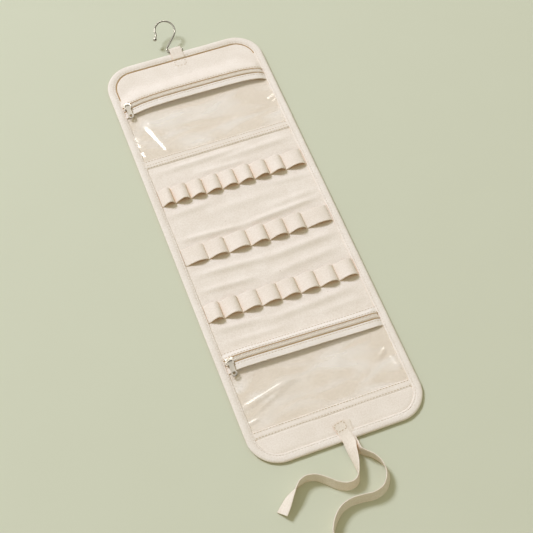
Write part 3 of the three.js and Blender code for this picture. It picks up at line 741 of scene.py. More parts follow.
class ROLL_OT_stage(PieceOperator, bpy.types.Operator):
    """Sets up the camera, the painted board and the soft lamps"""
    bl_idname = "roll.stage"
    bl_label = "Stage"

    # The photograph's camera: how far it is turned round, down and over, what it looks at and from how far
    azimuth, elevation, lean = radians(23.191), radians(60.52), radians(2.721)
    target = Vector((-4.739, -57.932, 0))
    distance = 1699.855
    image_pixels, focal_pixels = 533, 1250

    board_reach, board_gap = 3000, 0.15
    fill_colour = (1.0, 0.945, 0.71)
    room_colour = (1.0, 0.99, 0.95)
    # The room's darker side, which only mirrors see
    dark_side = (0.55, -0.84, 0)
    # Lamps: place in millimetres and size in metres, and for a card its share of the cards' power
    key_place, key_size = (-3000, 4650, 5780), (1.8, 1.8)
    key_colour = (0.795, 0.826, 1.0)
    card_colour = (1.0, 0.99, 0.97)
    cards = (("side_card", (-2717, 1298, 2919), (1.3, 1.3), 1),
             ("low_card", (0, 3300, 2100), (3.2, 0.8), 0.8))

    def make(self, settings):
        bpy.context.scene.view_settings.view_transform = "Standard"
        self.add_camera()
        reach = self.board_reach
        corners = [(x * reach, y * reach, -self.board_gap) for x, y in ((-1, -1), (1, -1), (1, 1), (-1, 1))]
        build_object("painted_board", corners, [(0, 1, 2, 3)], "board")
        self.add_room(settings.fill_light)
        key = self.add_lamp("key_softbox", self.key_place, self.key_size, settings.key_power, self.key_colour)
        key.visible_glossy = False
        for name, place, size, share in self.cards:
            card = self.add_lamp(name, place, size, settings.card_power * share, self.card_colour)
            card.visible_diffuse = False

    def add_camera(self):
        """The camera that took the photograph, as it was fitted to the roll's outline."""
        ahead = Vector((sin(self.azimuth) * cos(self.elevation),
                        cos(self.azimuth) * cos(self.elevation), -sin(self.elevation)))
        right = Vector((cos(self.azimuth), -sin(self.azimuth), 0))
        up = right.cross(ahead)
        turned = Matrix((right * cos(self.lean) + up * sin(self.lean),
                         up * cos(self.lean) - right * sin(self.lean), -ahead)).transposed()
        lens = bpy.data.cameras.new("camera")
        lens.sensor_width = 36
        lens.lens = self.focal_pixels / self.image_pixels * lens.sensor_width
        lens.clip_end = 20
        camera = place_object("camera", lens)
        camera.matrix_world = Matrix.Translation((self.target - ahead * self.distance) * MM) @ turned.to_4x4()
        bpy.context.scene.camera = camera

    def add_room(self, fill_light):
        """A pale room for the eye and, darker on one side, for mirrors, and a warm fill for the rest."""
        world = bpy.data.worlds.new("room")
        tree = empty_tree(world)
        rays = add_node(tree, "LightPath").outputs
        seen = rays["Is Camera Ray"]
        for kind in ("Is Glossy Ray", "Is Transmission Ray"):
            seen = add_node(tree, "Math", {0: seen, 1: rays[kind]}, operation="MAXIMUM")
        warm = add_node(tree, "Background", {"Color": self.fill_colour, "Strength": fill_light})
        look = add_node(tree, "TexCoord").outputs["Generated"]
        near = add_node(tree, "VectorMath", {0: look, 1: self.dark_side}, operation="DOT_PRODUCT")
        dark = add_node(tree, "MapRange", {"Value": near.outputs["Value"], "From Max": 0.35, "To Max": 0.85})
        dark = add_node(tree, "Math", {0: dark, 1: rays["Is Glossy Ray"]}, operation="MULTIPLY")
        strength = add_node(tree, "Math", {0: 1.0, 1: dark}, operation="SUBTRACT")
        pale = add_node(tree, "Background", {"Color": self.room_colour, "Strength": strength})
        mix = add_node(tree, "MixShader", {"Fac": seen, 1: warm, 2: pale})
        add_node(tree, "OutputWorld", {"Surface": mix})
        bpy.context.scene.world = world

    @staticmethod
    def add_lamp(name, place, size, power, colour):
        """A rectangular soft lamp, sized in metres, that looks at the middle of the roll."""
        lamp = bpy.data.lights.new(name, "AREA")
        lamp.shape = "RECTANGLE"
        lamp.size, lamp.size_y = size
        lamp.energy = power
        lamp.color = colour
        holder = place_object(name, lamp)
        holder.location = Vector(place) * MM
        holder.rotation_euler = (-holder.location).to_track_quat("-Z", "Y").to_euler()
        return holder


class ROLL_OT_ties(PieceOperator, bpy.types.Operator):
    """Lays the two tie tapes along their routes"""
    bl_idname = "roll.ties"
    bl_label = "Tie Tapes"

    per_span = 8
    # The point of a route where the tie leaves the hem, and how much plumper it is from there on
    leaves_hem, plumper = 2, 0.6
    # The tape's section as shares of its half width and half thickness: plump selvages round a flatter middle
    section = ((-1, -0.45), (-0.93, -1), (-0.75, -0.85), (0, -0.8), (0.75, -0.85), (0.93, -1), (1, -0.45),
               (1, 0.45), (0.93, 1), (0.75, 0.85), (0, 0.8), (-0.75, 0.85), (-0.93, 1), (-1, 0.45))
    # The box of stitches on the hem: run along the near tie and side of it
    sewn_box = ((1.4, 1), (1.4, -1), (12, -1), (12, 1))
    stitch_inset, stitch_lift = 1.2, 0.1

    def make(self, settings):
        for name, route in (("tie_tape_near", TIE_NEAR), ("tie_tape_far", TIE_FAR)):
            path = smooth_path([p[:3] for p in route], self.per_span)
            obj = Shape().add_sweep(self.rings(route, path)).finish(f"{name}_cotton", "tie", 60)
            fasten(obj, "cotton_tape", "bottom_flap", name)
            length = sum((b - a).length for a, b in zip(path, path[1:])) * MM
            leaves = Vector(route[self.leaves_hem][:3])
        start, end = (Vector(point[:3]) for point in TIE_NEAR[:2])
        along = (end - start).normalized()
        side = Vector((-along.y, along.x, 0)) * (TIE_WIDTH / 2 - self.stitch_inset)
        up = Z_AXIS * (TIE_THICKNESS / 2 + self.stitch_lift)
        corners = [start + along * run + side * share + up for run, share in self.sewn_box]
        sew("tie_tape_stitches", sides(corners), "cotton_tape", "bottom_flap")

    def rings(self, route, path):
        """Sections of a flat woven tape along a route, turned from flat to edge, plumper past the hem."""
        rings = []
        for k, at in enumerate(path):
            along = heading(path, k)
            passed = min(k // self.per_span, len(route) - 2)
            share = k / self.per_span - passed
            turn = radians(route[passed][3] * (1 - share) + route[passed + 1][3] * share)
            wide = Matrix.Rotation(turn, 3, along) @ Vector((-along.y, along.x, 0)).normalized()
            up = along.cross(wide)
            thick = (TIE_THICKNESS + self.plumper * ease((k / self.per_span - self.leaves_hem) / 2)) / 2
            rings.append([at + wide * TIE_WIDTH / 2 * a + up * thick * b for a, b in self.section])
        return rings


class ROLL_OT_cloth(PieceOperator, bpy.types.Operator):
    """Makes the lining and the outer canvas as four lengths"""
    bl_idname = "roll.cloth"
    bl_label = "Canvas"

    row_size, columns = 2.4, 96

    def make(self, settings):
        inset = BINDING_WIDTH / 2
        underside = LINING_TOP - CLOTH_THICKNESS
        for part, (low, high, *_) in CLOTH.items():
            low, high = max(low, BOTTOM_EDGE + inset), min(high, TOP_EDGE - inset)
            top = [[(x, y, lining_at(x, y)) for x in across(half_at(y, inset), self.columns)]
                   for y in rows_between(low, high, inset, self.row_size)]
            lining = self.add("lining", part, top, levelled(top, underside), "canvas")
            self.bare_pocket(lining.data)
            back = [[(x, y, 0.3 * ripple(x / 40, y / 30, 7) ** 2) for x, y, _ in row] for row in top]
            self.add("outer_canvas", part, levelled(top, underside - PLY_GAP), back, "back")

    @staticmethod
    def add(layer, part, top, low, finish_name):
        """One length of one layer."""
        obj = Shape().add_sheet(top, low).finish(f"{layer}_{part}_length", finish_name)
        fasten(obj, "canvas", None, *[f"{layer}_{node}" for node in CLOTH_NODES[part]])
        blend_cloth(obj, part)
        return obj

    @staticmethod
    def bare_pocket(mesh):
        """Gives the ground under a clear window its own finish, without painted hollow shade."""
        under_seam, short_of_chain = 2, 4
        mesh.materials.append(finish("pocket"))
        for face in mesh.polygons:
            y = face.center.y / MM
            if any(SEAM[end][1] - under_seam < y < CHAIN[end] - short_of_chain for end in ENDS):
                face.material_index = 1


class ROLL_OT_binding(PieceOperator, bpy.types.Operator):
    """Folds the binding round the edge, with its stitches"""
    bl_idname = "roll.binding"
    bl_label = "Edge Binding"

    stitch_inset, stitch_drop = 9.4, 0.6
    run_step = 2.5
    # Gathers along the edge: height, length and seed, and how far apart the two sides are in their pattern
    gathers = ((0.16, 4.2, 1), (0.2, 19, 5))
    sides_apart = 1000
    # The binding's section as distance inwards: with its height below and round the edge, then with its drop
    # from the crown over the top
    under = ((12.0, 0.3), (8, 0.1), (5, 0.5), (2.2, 1.4), (0.7, 2.1), (0.05, 2.9), (0.05, 3.5), (0.5, 4.2))
    over = ((1.5, 0.4), (3.0, 0.05), (5, 0), (7.2, 0.08), (8.4, 0.35), (9.0, 0.75), (9.6, 0.8), (10.2, 0.65),
            (10.9, 0.75), (11.6, 1.3), (12.0, 1.9), (12.1, 2.2))

    def make(self, settings):
        top = FRONT_TOP + settings.crown / MM
        section = [*self.under, *((inward, top - drop) for inward, drop in self.over), (12.1, LINING_TOP - 1)]
        for part in CLOTH:
            strip = Shape()
            seams = []
            for line in self.edge_lines(part):
                strip.add_sweep([self.section_at(section, *place) for place in line])
                inset, level = self.stitch_inset, top - self.stitch_drop
                seams.append([Vector((x + nx * inset, y + ny * inset, level)) for x, y, nx, ny, _ in line])
            obj = strip.finish(f"binding_{part}_length", "binding", 60)
            blend_cloth(fasten(obj, "binding", None, *BINDING_NODES[part]), part)
            sewn = sew(f"binding_{part}_stitches", seams, "binding", radius=0.42,
                       finish_name="binding_thread")
            blend_cloth(sewn, part)

    def section_at(self, section, x, y, nx, ny, run):
        """The binding's section at one place on the edge, gathered a little by the stitches."""
        gather = sum(height * ripple(run / length, 0, seed) for height, length, seed in self.gathers)
        return [(x + nx * inward, y + ny * inward, height + (gather if height > FRONT_TOP - 0.3 else 0))
                for inward, height in section]

    def edge_lines(self, part):
        """Places on the outer edge with the direction inwards and the run along it."""
        low, high, *_ = CLOTH[part]
        size = self.run_step
        if part not in ENDS:
            return [[(side * HALF_WIDTH, y, -side, 0, y + self.sides_apart / 2 * side)
                     for y in steps(low, high, size)] for side in (-1, 1)]
        end, cut = (1, low) if part == "top" else (-1, high)
        places = round_end(end, cut, 0, size, arc(4.5, 19), size)
        return [[(*place, size * i) for i, place in enumerate(places)]]


class ROLL_OT_facings(PieceOperator, bpy.types.Operator):
    """Sews down the header, the hem and the two pocket seam tapes"""
    bl_idname = "roll.facings"
    bl_label = "Facings and Seam Tapes"

    inset = BINDING_WIDTH - 3
    header_columns, band_columns = 110, 108
    # Patches that stand out where the tab is sewn in: width past the tab, lower and upper edge, height
    tab_patches = ((0.5, 303.8, 319, 0.5), (2, 286, 303, 0.4))
    tab_stitches = (305.2, 316)
    # The same for the hem, above the ties: middle, half width, lower and upper edge
    tie_patch = (3, 10, -304, -291)
    # The cord beside the header: how far down it shows at the left and at the right, its place inside the
    # binding and below the front, its half axes, and its step over the tab
    cord_ends = (272, 290)
    cord_inset, cord_sink, tab_step = 0.7, 0.15, 0.9
    cord_half_width, cord_half_height = 0.55, 0.5
    # The header's lower edge past the chain, and how far up the facing follows the zip's line
    past_chain, follows = 4.5, 30
    # Its climb on to the zip: where it starts, its reach at the sides, and how much more in the middle
    climb_start, climb_reach, middle_more = 2.5, 17, 14
    # How far it lies above the zip's tape, and how far its folded edge drops
    above_tape, edge_drop = 0.5, 0.4
    # The ridge along a seam tape's lower seam: lower and upper edge, height
    seam_ridge = (2.2, 6.5, 0.4)

    def make(self, settings):
        self.header()
        self.edge_cord()
        self.band("hem_facing", "bottom_flap", BOTTOM_EDGE + 9, SEAM["bottom"][0] + 3, self.hem_top, ())
        for end, middle_seams in (("top", (6,)), ("bottom", ())):
            low, high = SEAM[end]
            seams = (high - 1.6, *(low + seam for seam in middle_seams), low + 1.8)
            self.band(f"{end}_pocket_seam_tape", f"{end}_flap", low, high, self.seam_top, seams)

    def header(self):
        """The header lies on the lining and climbs over the top zip's upper tape to a folded edge."""
        straight_end = TOP_EDGE - CORNER_RADIUS
        rows = [HEADER_EDGE + past for past in (0, 0.4, 1.2)] + steps(HEADER_EDGE + 2.4, straight_end, 1.8)
        rounded = rows_between(HEADER_EDGE, TOP_EDGE - self.inset, self.inset, 3)
        rows += [y for y in rounded if y > straight_end + 1]
        top = []
        for y in rows:
            half = min(half_at(y, self.inset), FRONT_HALF + 3)
            top.append([(x, y + self.stray(x, y), self.header_top(x, y))
                        for x in across(half, self.header_columns)])
        obj = Shape().add_sheet(top, lowered(top, CLOTH_THICKNESS)).finish("header_facing_canvas", "canvas")
        fasten(obj, "canvas", "top_flap", "header_facing")
        seam_y = HEADER_EDGE + 2.2
        seam = [Vector((x, seam_y + self.stray(x, seam_y), self.header_top(x, seam_y) + 0.08))
                for x in steps(-FRONT_HALF, FRONT_HALF, 2.4)]
        low, high = self.tab_stitches
        half = TAB_WIDTH / 2 - 1
        corners = [Vector((x, y, self.header_top(x, y) + 0.1)) for x, y in (
            (TAB_X - half, low), (TAB_X + half, low), (TAB_X + half, high), (TAB_X - half, high))]
        sew("header_facing_stitches", [seam, *sides(corners)], "canvas", "top_flap")

    def edge_cord(self):
        """A tan cord that shows between the binding and the header, and steps over the tab; its tan also
        stands as the painted shade line under the binding's inner edge.
        """
        left_end, right_end = self.cord_ends
        rings = []
        for x, y, nx, ny in round_end(1, left_end, BINDING_WIDTH + self.cord_inset, 3, arc(6, 14), 1.5):
            if x < 0 or y > right_end:
                over_tab = ease((TAB_WIDTH / 2 + 1.2 - abs(x - TAB_X)) / 1.5)
                centre = Vector((x, y, FRONT_TOP - self.cord_sink + self.tab_step * over_tab))
                wide = Vector((nx, ny, 0)) * self.cord_half_width
                rings.append(ring(centre, wide, Z_AXIS * self.cord_half_height))
        fasten(Shape().add_sweep(rings).finish("header_edge_cord", "cord", 80), "binding", "top_flap")

    def stray(self, x, y):
        """How far the zip's own line carries the header with it, less and less above its lower edge."""
        edge = zip_line("top", x)[0] + self.past_chain
        return (edge - HEADER_EDGE) * (1 - ease((y - HEADER_EDGE) / self.follows))

    def header_top(self, x, y):
        """Height of the header: up on the zip, out over the ends of the tab, and down beside the binding."""
        reach = self.climb_reach + self.middle_more * ease((FRONT_HALF - abs(x)) / 30)
        climb = 1 - ease((y - HEADER_EDGE - self.climb_start) / reach)
        crest = TAPE_TOP + zip_line("top", x)[1] + self.above_tape
        height = FRONT_TOP + (crest - FRONT_TOP) * climb
        if y < HEADER_EDGE + 0.2:
            height -= self.edge_drop
        for past, low, high, lift in self.tab_patches:
            half = TAB_WIDTH / 2 + past
            height += lift * ease((half - abs(x - TAB_X)) / 0.9) * plateau(y, low, high, 0.9)
        inside = from_binding(x, y)
        wave = 0.7 * ripple(x / 45, y / 22, 11) * ease((y - HEADER_EDGE) / 12)
        return height + wave * ease(inside / 8) - 0.5 * (1 - ease(inside / 4)) * (1 - climb)

    def hem_top(self, x, y):
        """Height of the hem: out in a patch above the ties, and down beside the binding and the seam tape."""
        middle, half, low, high = self.tie_patch
        patch = ease((half - abs(x - middle)) / 1.5) * ease((y - low) / 1.5) * ease(high - y)
        tucked = 0.45 * ease((y - SEAM["bottom"][0] + 1) / 1.5) + 0.5 * (1 - ease(from_binding(x, y) / 4))
        return FRONT_TOP + 0.3 * patch + 0.4 * ripple(x / 45, y / 20, 13) * (1 - patch) - tucked

    def seam_top(self, x, y):
        """Two layers of canvas turned under, which leaves a low ridge along the lower seam."""
        low = SEAM["top"][0] if y > 0 else SEAM["bottom"][0]
        ridge_low, ridge_high, ridge_height = self.seam_ridge
        ridge_share = plateau(y, low + ridge_low, low + ridge_high, 1.5)
        thin = (FRONT_TOP - LINING_TOP - 0.5) * (1 - ease((y - low) / 2.4)) if y > 0 else 0
        return FRONT_TOP + ridge_height * ridge_share - thin + 0.15 * ripple(x / 6, y / 5, 17)

    def band(self, node, body, low, high, height_at, seams):
        """A flat sewn strip with a soft edge, kept inside the binding."""
        top = []
        for y in edged_rows(low, high, 0.5, 1.5):
            half = min(half_at(max(y, BOTTOM_EDGE + self.inset), self.inset), HALF_WIDTH - self.inset)
            soft = 0.5 if y in (low, high) else 0
            top.append([(x, y, height_at(x, y) - soft) for x in across(half, self.band_columns)])
        obj = Shape().add_sheet(top, levelled(top, FRONT_LEVEL - 0.2)).finish(f"{node}_canvas", "canvas")
        fasten(obj, "canvas", body, node)
        columns = steps(-FRONT_HALF, FRONT_HALF, 3)
        lines = [[Vector((x, y, height_at(x, y) + 0.1)) for x in columns] for y in seams]
        if lines:
            sew(f"{node}_stitches", lines, "canvas", body)


class ROLL_OT_loops(PieceOperator, bpy.types.Operator):
    """Raises the three rows of tool loops"""
    bl_idname = "roll.loops"
    bl_label = "Tool Loops"

    bodies = {1: "upper_panel", 2: "middle_panel", 3: "lower_panel"}
    sewn_flat = 1.6
    points_per_loop = 24
    # How much higher a loop stands at its lower edge, and how much the loops differ from each other
    flare, unevenness = 0.4, 0.14

    def make(self, settings):
        for number, widths in LOOP_WIDTHS.items():
            low, high = ROW[number]
            inner, outer = [], []
            for y in edged_rows(low, high, 0.4, 2.9):
                line = self.line(widths, (y - low) / (high - low), number, settings.loop_rise / MM)
                thickness = LOOP_THICKNESS * (0.6 if y in (low, high) else 1)
                inner.append([(x, y, z) for x, z in line])
                outer.append([(x, y, z) for x, z in self.offset(line, thickness)])
            obj = Shape().add_sheet(outer, inner).finish(f"loop_row_{number}_tape", "tape", 50)
            fasten(obj, "cotton_tape", self.bodies[number], f"loop_tape_row_{number}")
            level = FRONT_LEVEL + LOOP_THICKNESS + 0.12
            lines = [[Vector((x, y, level)) for y in (low + 1.5, high - 1.5)] for x in self.tacks(widths)]
            sew(f"loop_row_{number}_stitches", lines, "cotton_tape", self.bodies[number], radius=0.28)

    @staticmethod
    def flat_between(widths):
        """Tape left over between two loops of a row."""
        return (2 * (FRONT_HALF - LOOP_FOOT) - sum(widths)) / (len(widths) - 1)

    def tacks(self, widths):
        """Middle of each sewn place between two loops."""
        x = -FRONT_HALF + LOOP_FOOT
        for width in widths[:-1]:
            yield x + width + self.sewn_flat / 2
            x += width + self.flat_between(widths)

    def line(self, widths, share, number, rise_even):
        """Underside of the tape across the row: each loop climbs slowly, leans over and drops."""
        flat = self.flat_between(widths)
        points = [(-FRONT_HALF, FRONT_LEVEL)]
        x = -FRONT_HALF + LOOP_FOOT
        crest = 0.62 + 0.08 * share
        flare = 1 + self.flare * (1 - share) ** 1.5
        for k, width in enumerate(widths):
            slack = 1 + self.unevenness * ripple(k * 1.7, number * 5.3, 2)
            rise = (rise_even - LOOP_FLATTENING * max(width - LOOP_EVEN_WIDTH, 0)) * flare * slack
            wide = width if k == 0 else width + flat - self.sewn_flat
            for i in range(self.points_per_loop + 1):
                t = 1 - (1 - i / self.points_per_loop) ** 1.5
                if t < crest:
                    height = rise * sin(pi / 2 * t / crest) ** 1.15
                else:
                    height = rise * sqrt(1 - ((t - crest) / (1 - crest)) ** (1.7 + 0.5 * share))
                points.append((x + width - wide * (1 - t), FRONT_LEVEL + height))
            x += width + flat
        points.append((FRONT_HALF, FRONT_LEVEL))
        return points

    @staticmethod
    def offset(line, thickness):
        """The same line, moved out square to itself."""
        moved = []
        for k, (x, z) in enumerate(line):
            x0, z0 = line[max(k - 1, 0)]
            x1, z1 = line[min(k + 1, len(line) - 1)]
            length = hypot(x1 - x0, z1 - z0)
            moved.append((x - (z1 - z0) / length * thickness, z + (x1 - x0) / length * thickness))
        return moved


class ROLL_OT_zips(PieceOperator, bpy.types.Operator):
    """Makes the zip tapes, coils, coil cords, sliders and pulls"""
    bl_idname = "roll.zips"
    bl_label = "Zips"

    tape_thickness = 0.6
    columns = steps(-FRONT_HALF - 2, FRONT_HALF + 2, 2.4)
    # Across each tape: distance from the chain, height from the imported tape's top, share of the zip's arch
    sewn = FRONT_TOP - TAPE_TOP
    lower_profile = (
        (-ZIP_LOWER_REACH, -0.5, 1), (-15.1, 0.05, 1), (-14.2, 0.1, 1), (-11, 0.1, 1), (-8.3, 0.1, 1),
        (-7.5, -0.1, 1), (-6.7, 0.1, 1), (-5.6, 0.2, 1), (-4.9, 0.15, 1), (-4.4, -0.25, 1),
    )
    shown_profile = (
        (4.4, -0.25, 1), (4.9, 0.2, 1), (5.5, 0.25, 1), (6.2, 0.0, 1), (7, 0.0, 1), (9, -0.7, 0.85),
        (11.3, -2.5, 0.45), (13, sewn + 0.2, 0.08), (13.9, sewn - 0.05, 0), (14.8, sewn + 0.1, 0),
        (15.4, sewn - 0.5, 0),
    )
    covered_profile = ((4.4, -0.6, 1), (5, -0.25, 1), (8, -0.4, 1), (11, -2.4, 0.5), (13.5, sewn - 0.6, 0.1),
                       (15.4, sewn - 0.9, 0))
    # One turn of a coil: reach from the chain's middle, share of its girth, lift. Then the wire's half width
    # as a share of the pitch, its half height, and how far it slants
    turn = ((-0.9, 0.5, 0), (-0.5, 0.85, 0.2), (1.2, 0.9, 0.3), (2.9, 0.9, 0.2), (3.7, 0.6, -0.15))
    wire_share, wire_height, slant = 0.42, 0.55, 0.25
    cord_reach, cord_half_width, cord_half_height = 4.05, 0.6, 0.5
    rounding = {"slider": 0.28, "pull": 0.42}

    def make(self, settings):
        upper = {"top": (self.covered_profile, ()), "bottom": (self.shown_profile, (6.6, 13.9))}
        for end in ENDS:
            self.tape(end, "lower", self.lower_profile, (-7.5,))
            self.tape(end, "upper", *upper[end])
            self.coils(end, settings.tooth_pitch / MM)
            for piece in self.rounding:
                self.metal(end, piece)

    @staticmethod
    def place(end, x, aside, height, share):
        """A point of a zip, carried along by the zip's arch."""
        y, arch = zip_line(end, x)
        return Vector((x, y + aside, TAPE_TOP + height + arch * share))

    def tape(self, end, side, profile, seams):
        """One woven tape with its seams, each named by its distance from the chain."""
        top = [[self.place(end, x, *station) for x in self.columns] for station in profile]
        obj = Shape().add_sheet(top, lowered(top, self.tape_thickness)).finish(
            f"{end}_zip_{side}_tape_cloth", "zip_tape")
        fasten(obj, "zip_tape", f"{end}_flap", f"{end}_zip_{side}_tape")
        lines = []
        for seam in seams:
            station = self.station_at(profile, seam)
            lines.append([self.place(end, x, *station) + Z_AXIS * 0.12 for x in self.columns])
        if lines:
            sew(f"{end}_zip_{side}_stitches", lines, "zip_tape", f"{end}_flap", radius=0.27)

    @staticmethod
    def station_at(profile, aside):
        """A profile's distance, height and share of the arch at one distance from the chain."""
        for a, b in zip(profile, profile[1:]):
            if a[0] <= aside <= b[0]:
                share = (aside - a[0]) / (b[0] - a[0])
                return [low + (high - low) * share for low, high in zip(a, b)]
        raise ValueError("the seam is off the tape")

    def coils(self, end, tooth_pitch):
        """Two wound coils whose turns mesh, each held down by a tan cord along its outer side, whose tan also
        stands as painted shade in the gap beside the coil.

        The turns have about the real 2 mm pitch and lie low, so that the chain reads as a ribbed cream band.
        """
        for side, word in ((1, "upper"), (-1, "lower")):
            teeth = Shape()
            start = -FRONT_HALF - 1 + (0 if side > 0 else tooth_pitch / 2)
            for k in range(int((2 * FRONT_HALF + 2) / tooth_pitch)):
                rings = []
                for reach, girth, lift in self.turn:
                    x = start + tooth_pitch * k + self.slant * reach
                    rings.append(ring(self.place(end, x, side * reach, lift, 1),
                                      X_AXIS * self.wire_share * tooth_pitch * girth,
                                      Z_AXIS * self.wire_height * girth))
                teeth.add_sweep(rings)
            obj = teeth.finish(f"{end}_zip_{word}_coil_turns", "coil", 70)
            fasten(obj, "zip_coil", f"{end}_flap", f"{end}_zip_{word}_coil")
            rings = [ring(self.place(end, x, side * self.cord_reach, 0.1, 1), Y_AXIS * self.cord_half_width,
                          Z_AXIS * self.cord_half_height) for x in self.columns]
            cord = Shape().add_sweep(rings).finish(f"{end}_zip_{word}_coil_cord", "cord", 80)
            fasten(cord, "zip_tape", f"{end}_flap")

    def metal(self, end, piece):
        """A slider or a pull: the solid's own shape, with its edges rounded over."""
        node = f"{end}_zip_{piece}"
        mesh = frame["nodes"][node].data.copy()
        shape = bmesh.new()
        shape.from_mesh(mesh)
        bmesh.ops.remove_doubles(shape, verts=shape.verts, dist=0.002 * MM)
        bmesh.ops.dissolve_limit(shape, angle_limit=radians(1), verts=shape.verts, edges=shape.edges)
        shape.to_mesh(mesh)
        shape.free()
        mesh.materials.clear()
        obj = smooth_object(f"{node}_metal", mesh, "nickel")
        bevel = obj.modifiers.new("rounded_edges", "BEVEL")
        bevel.width = self.rounding[piece] * MM
        bevel.segments = 2
        bevel.limit_method = "ANGLE"
        bevel.angle_limit = radians(35)
        bevel.harden_normals = True
        fasten(obj, "nickel", f"{end}_{piece}", node)


class ROLL_OT_windows(PieceOperator, bpy.types.Operator):
    """Stretches the two clear films over the pockets"""
    bl_idname = "roll.windows"
    bl_label = "Clear Windows"

    film_half = FRONT_HALF + 1.5
    thickness = 0.25
    above_front, below_tape = 0.35, 0.9
    # Shares of the way from zip to seam where the film slopes down and over which the zip holds its sides up,
    # and the share of the half width where its sides start to fall
    slope_from, slope_over, zip_holds, sides_from = 0.06, 0.86, 0.2, 0.7
    # How near the seam and the zip's tape it lies without folds, and its own slack
    seam_holds, tape_holds, slack = 10, 9, 0.4
    # Folds that the film shows: start, end, height and width
    folds = {
        "top": (
            ((-91.5, 234), (-61, 144), 3.4, 4.7), ((-110, 206), (-98, 166), 2.6, 3.5),
            ((-107, 184), (-97, 150), 2.4, 3.3), ((-50, 230), (-30, 170), 1.2, 9),
            ((30, 230), (50, 165), 1.2, 12), ((92, 199), (111, 208), 1.15, 2.5),
            ((97, 193), (111, 200), 0.95, 2.1),
        ),
        "bottom": (
            ((-128, -249), (-20, -226), 2.4, 4.4), ((-104, -258), (-40, -234), 1.5, 3.2),
            ((-116, -269), (-88, -263), 1.4, 2.4), ((105, -268), (99, -230), 2.4, 2.9),
            ((76, -243), (103, -225), 1.8, 3.4), ((40, -205), (10, -262), 1.2, 12),
            ((-40, -205), (-60, -262), 0.9, 12),
        ),
    }

    def make(self, settings):
        for end in ENDS:
            low, high = SEAM[end][1] - 1, CHAIN[end] - 5
            columns = steps(-self.film_half, self.film_half, 1.5)
            top = [[(x, y, self.height(end, x, y, low, high)) for x in columns]
                   for y in steps(low, high, 1.2)]
            sheet = Shape().add_sheet(top, lowered(top, self.thickness))
            obj = sheet.finish(f"{end}_window_film", "film", 80)
            fasten(obj, "clear_film", f"{end}_flap", f"{end}_window")
            obj.visible_shadow = obj.visible_diffuse = False

    def height(self, end, x, y, low, high):
        """Height of the film: held by the zip's tape above, the seam below and the binding at both sides."""
        chain_y, arch = zip_line(end, x)
        base = FRONT_LEVEL + self.above_front
        crest = max(TAPE_TOP - self.below_tape + arch, base)
        share = (high - y) / (high - low)
        front = 1 - ease((share - self.slope_from) / self.slope_over)
        side = 1 - ease((abs(x) / FRONT_HALF - self.sides_from) / (1 - self.sides_from))
        side += (1 - side) * ease(1 - share / self.zip_holds)
        loose = ease((y - low) / self.seam_holds)
        loose *= ease((chain_y - ZIP_LOWER_REACH - y) / self.tape_holds)
        wrinkle = sum(ridge(x, y, *fold) for fold in self.folds[end])
        slack = self.slack * max(0.5 + ripple(x / 38, y / 30, 23), 0)
        return base + (crest - base) * front * side + (wrinkle + slack) * loose


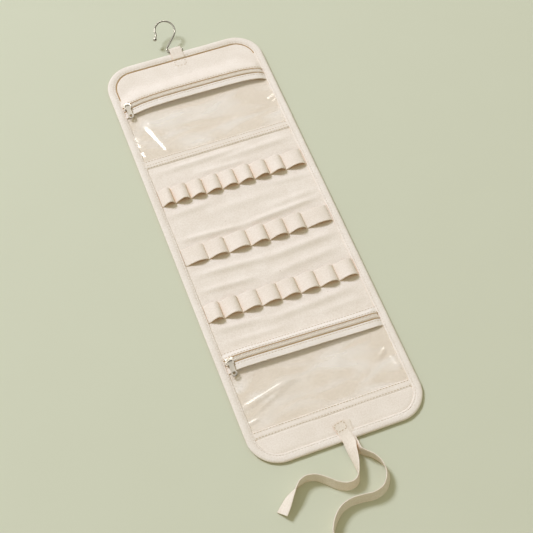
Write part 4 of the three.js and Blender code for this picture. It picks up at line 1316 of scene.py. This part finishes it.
class ROLL_OT_hanger(PieceOperator, bpy.types.Operator):
    """Makes the hanger tab, the bent wire hook and its ball end"""
    bl_idname = "roll.hanger"
    bl_label = "Hanger"

    # The tab's middle line, as distance past the top edge and height, and its places across
    tab_line = ((-14.5, 3.4), (-12.8, 4.1), (-11.6, 5.3), (-9.5, 5.65), (-5, 5.85), (0.5, 6.3), (5.6, 6.6),
                (8.4, 6.0), (9.3, 4.9), (8.6, 3.8), (6, 3.1), (2, 2.9), (-0.4, 2.7))
    tab_shares = (-1, -0.97, -0.8, -0.5, 0, 0.5, 0.8, 0.97, 1)
    tab_half_thickness, selvage_half_thickness = 0.45, 0.25
    # The hook in its own tilted plane, as X from the tab's middle and distance from the bar: its round part
    # from one angle in degrees to another, the ball's place, the wire's bend, and the bar past the tab
    tilt = radians(23)
    circle_centre, circle_radius, circle_angles = (-6, 33.7), 15, (190, -48)
    ball_point = (-23.1, 26.9)
    bend = (-11.3, 6.8)
    stub = 2.6
    ball_radius, ball_offset = 3.0, 2.2
    # The ball's collar, as distance past the wire's end and radius
    collar = ((-2.2, 1.5), (-2.0, 1.8), (-1.2, 1.9), (-0.7, 1.85))

    def make(self, settings):
        self.tab()
        path = self.wire_path()
        wire = Shape().add_sweep(self.wire_rings(path)).finish("hook_wire_bent", "wire", 50)
        fasten(wire, "bright_wire", "hook", "hook_wire")
        ball = Shape().add_sweep(self.ball_rings(path)).finish("hook_ball_end", "wire", 50)
        fasten(ball, "bright_wire", "hook", "hook_ball")

    def tab(self):
        """A woven tape that loops out past the top edge, round the wire, and back under it."""
        line = smooth_path([(0, TOP_EDGE + y, z) for y, z in self.tab_line], 5)
        outer, inner = [], []
        for k, at in enumerate(line):
            up = X_AXIS.cross(heading(line, k))
            for layer, side in ((outer, 1), (inner, -1)):
                points = []
                for share in self.tab_shares:
                    half = self.selvage_half_thickness if abs(share) == 1 else self.tab_half_thickness
                    points.append(at + up * side * half + X_AXIS * (TAB_X + share * TAB_WIDTH / 2))
                layer.append(points)
        obj = Shape().add_sheet(outer, inner).finish("hanger_tab_tape", "tape", 70)
        fasten(obj, "cotton_tape", "top_flap", "hanger_tab")

    def wire_path(self):
        """The wire's middle line from the ball to the bar's end, tilted up about the bar."""
        bar_half = TAB_WIDTH / 2 + self.stub
        flat = [self.ball_point]
        first, last = self.circle_angles
        for angle in steps(radians(first), radians(last), radians(last - first) / 12):
            flat.append((self.circle_centre[0] + self.circle_radius * cos(angle),
                         self.circle_centre[1] + self.circle_radius * sin(angle)))
        end = Vector(flat[-1])
        flat += [tuple(end.lerp(Vector(self.bend), share)) for share in (0.4, 0.8, 0.95)]
        turn = 1.5 * WIRE_RADIUS
        nip = 0.3 * turn
        flat += [(self.bend[0] - WIRE_RADIUS / 2, self.bend[1] - turn), (-bar_half, turn),
                 (-bar_half + nip, nip), (-bar_half + turn, 0), (-bar_half + turn + nip, 0), (0, 0),
                 (bar_half, 0)]
        placed = [(TAB_X + x, BAR_Y + v * cos(self.tilt), BAR_Z + v * sin(self.tilt)) for x, v in flat]
        return smooth_path(placed, 6)

    @staticmethod
    def wire_rings(path):
        """Sections of a round wire along a path, with its end turned over."""
        ahead = (path[-1] - path[-2]).normalized()
        places = path[:-1] + [path[-1] - ahead * 0.5, path[-1] - ahead * 0.12, path[-1]]
        girths = [1] * (len(places) - 2) + [0.85, 0.5]
        rings = []
        side = Z_AXIS
        for k, (at, girth) in enumerate(zip(places, girths)):
            along = heading(places, k)
            side = (side - along * side.dot(along)).normalized()
            radius = WIRE_RADIUS * girth
            rings.append(ring(at, side * radius, along.cross(side) * radius, count=16))
        return rings

    def ball_rings(self, path):
        """Sections of a pressed ball end, with a short collar where the wire goes in."""
        away = (path[0] - path[1]).normalized()
        side = away.orthogonal().normalized()
        other = away.cross(side)
        profile = [*self.collar, *((self.ball_offset - self.ball_radius * cos(a), self.ball_radius * sin(a))
                                   for a in arc(10, 14, 30))]
        return [ring(path[0] + away * past, side * girth, other * girth, count=24) for past, girth in profile]


class ROLL_PT_panel(bpy.types.Panel):
    """Lists the pieces of the dressing"""
    bl_idname = "ROLL_PT_panel"
    bl_label = "Toiletry Roll"
    bl_space_type = "VIEW_3D"
    bl_region_type = "UI"
    bl_category = "Toiletry Roll"

    def draw(self, context):
        for name in RollSettings.__annotations__:
            self.layout.prop(context.scene.toiletry_roll, name)
        for operator in OPERATORS:
            self.layout.operator(operator.bl_idname)


OPERATORS = (ROLL_OT_stage, ROLL_OT_ties, ROLL_OT_cloth, ROLL_OT_binding, ROLL_OT_facings, ROLL_OT_loops,
             ROLL_OT_zips, ROLL_OT_windows, ROLL_OT_hanger)
CLASSES = (RollSettings, *OPERATORS, ROLL_PT_panel)


def register():
    for cls in CLASSES:
        bpy.utils.register_class(cls)
    bpy.types.Scene.toiletry_roll = bpy.props.PointerProperty(type=RollSettings)


def unregister():
    del bpy.types.Scene.toiletry_roll
    for cls in reversed(CLASSES):
        bpy.utils.unregister_class(cls)


def main():
    register()
    for operator in OPERATORS:
        group, name = operator.bl_idname.split(".")
        getattr(getattr(bpy.ops, group), name)()


if __name__ == "__main__":
    main()
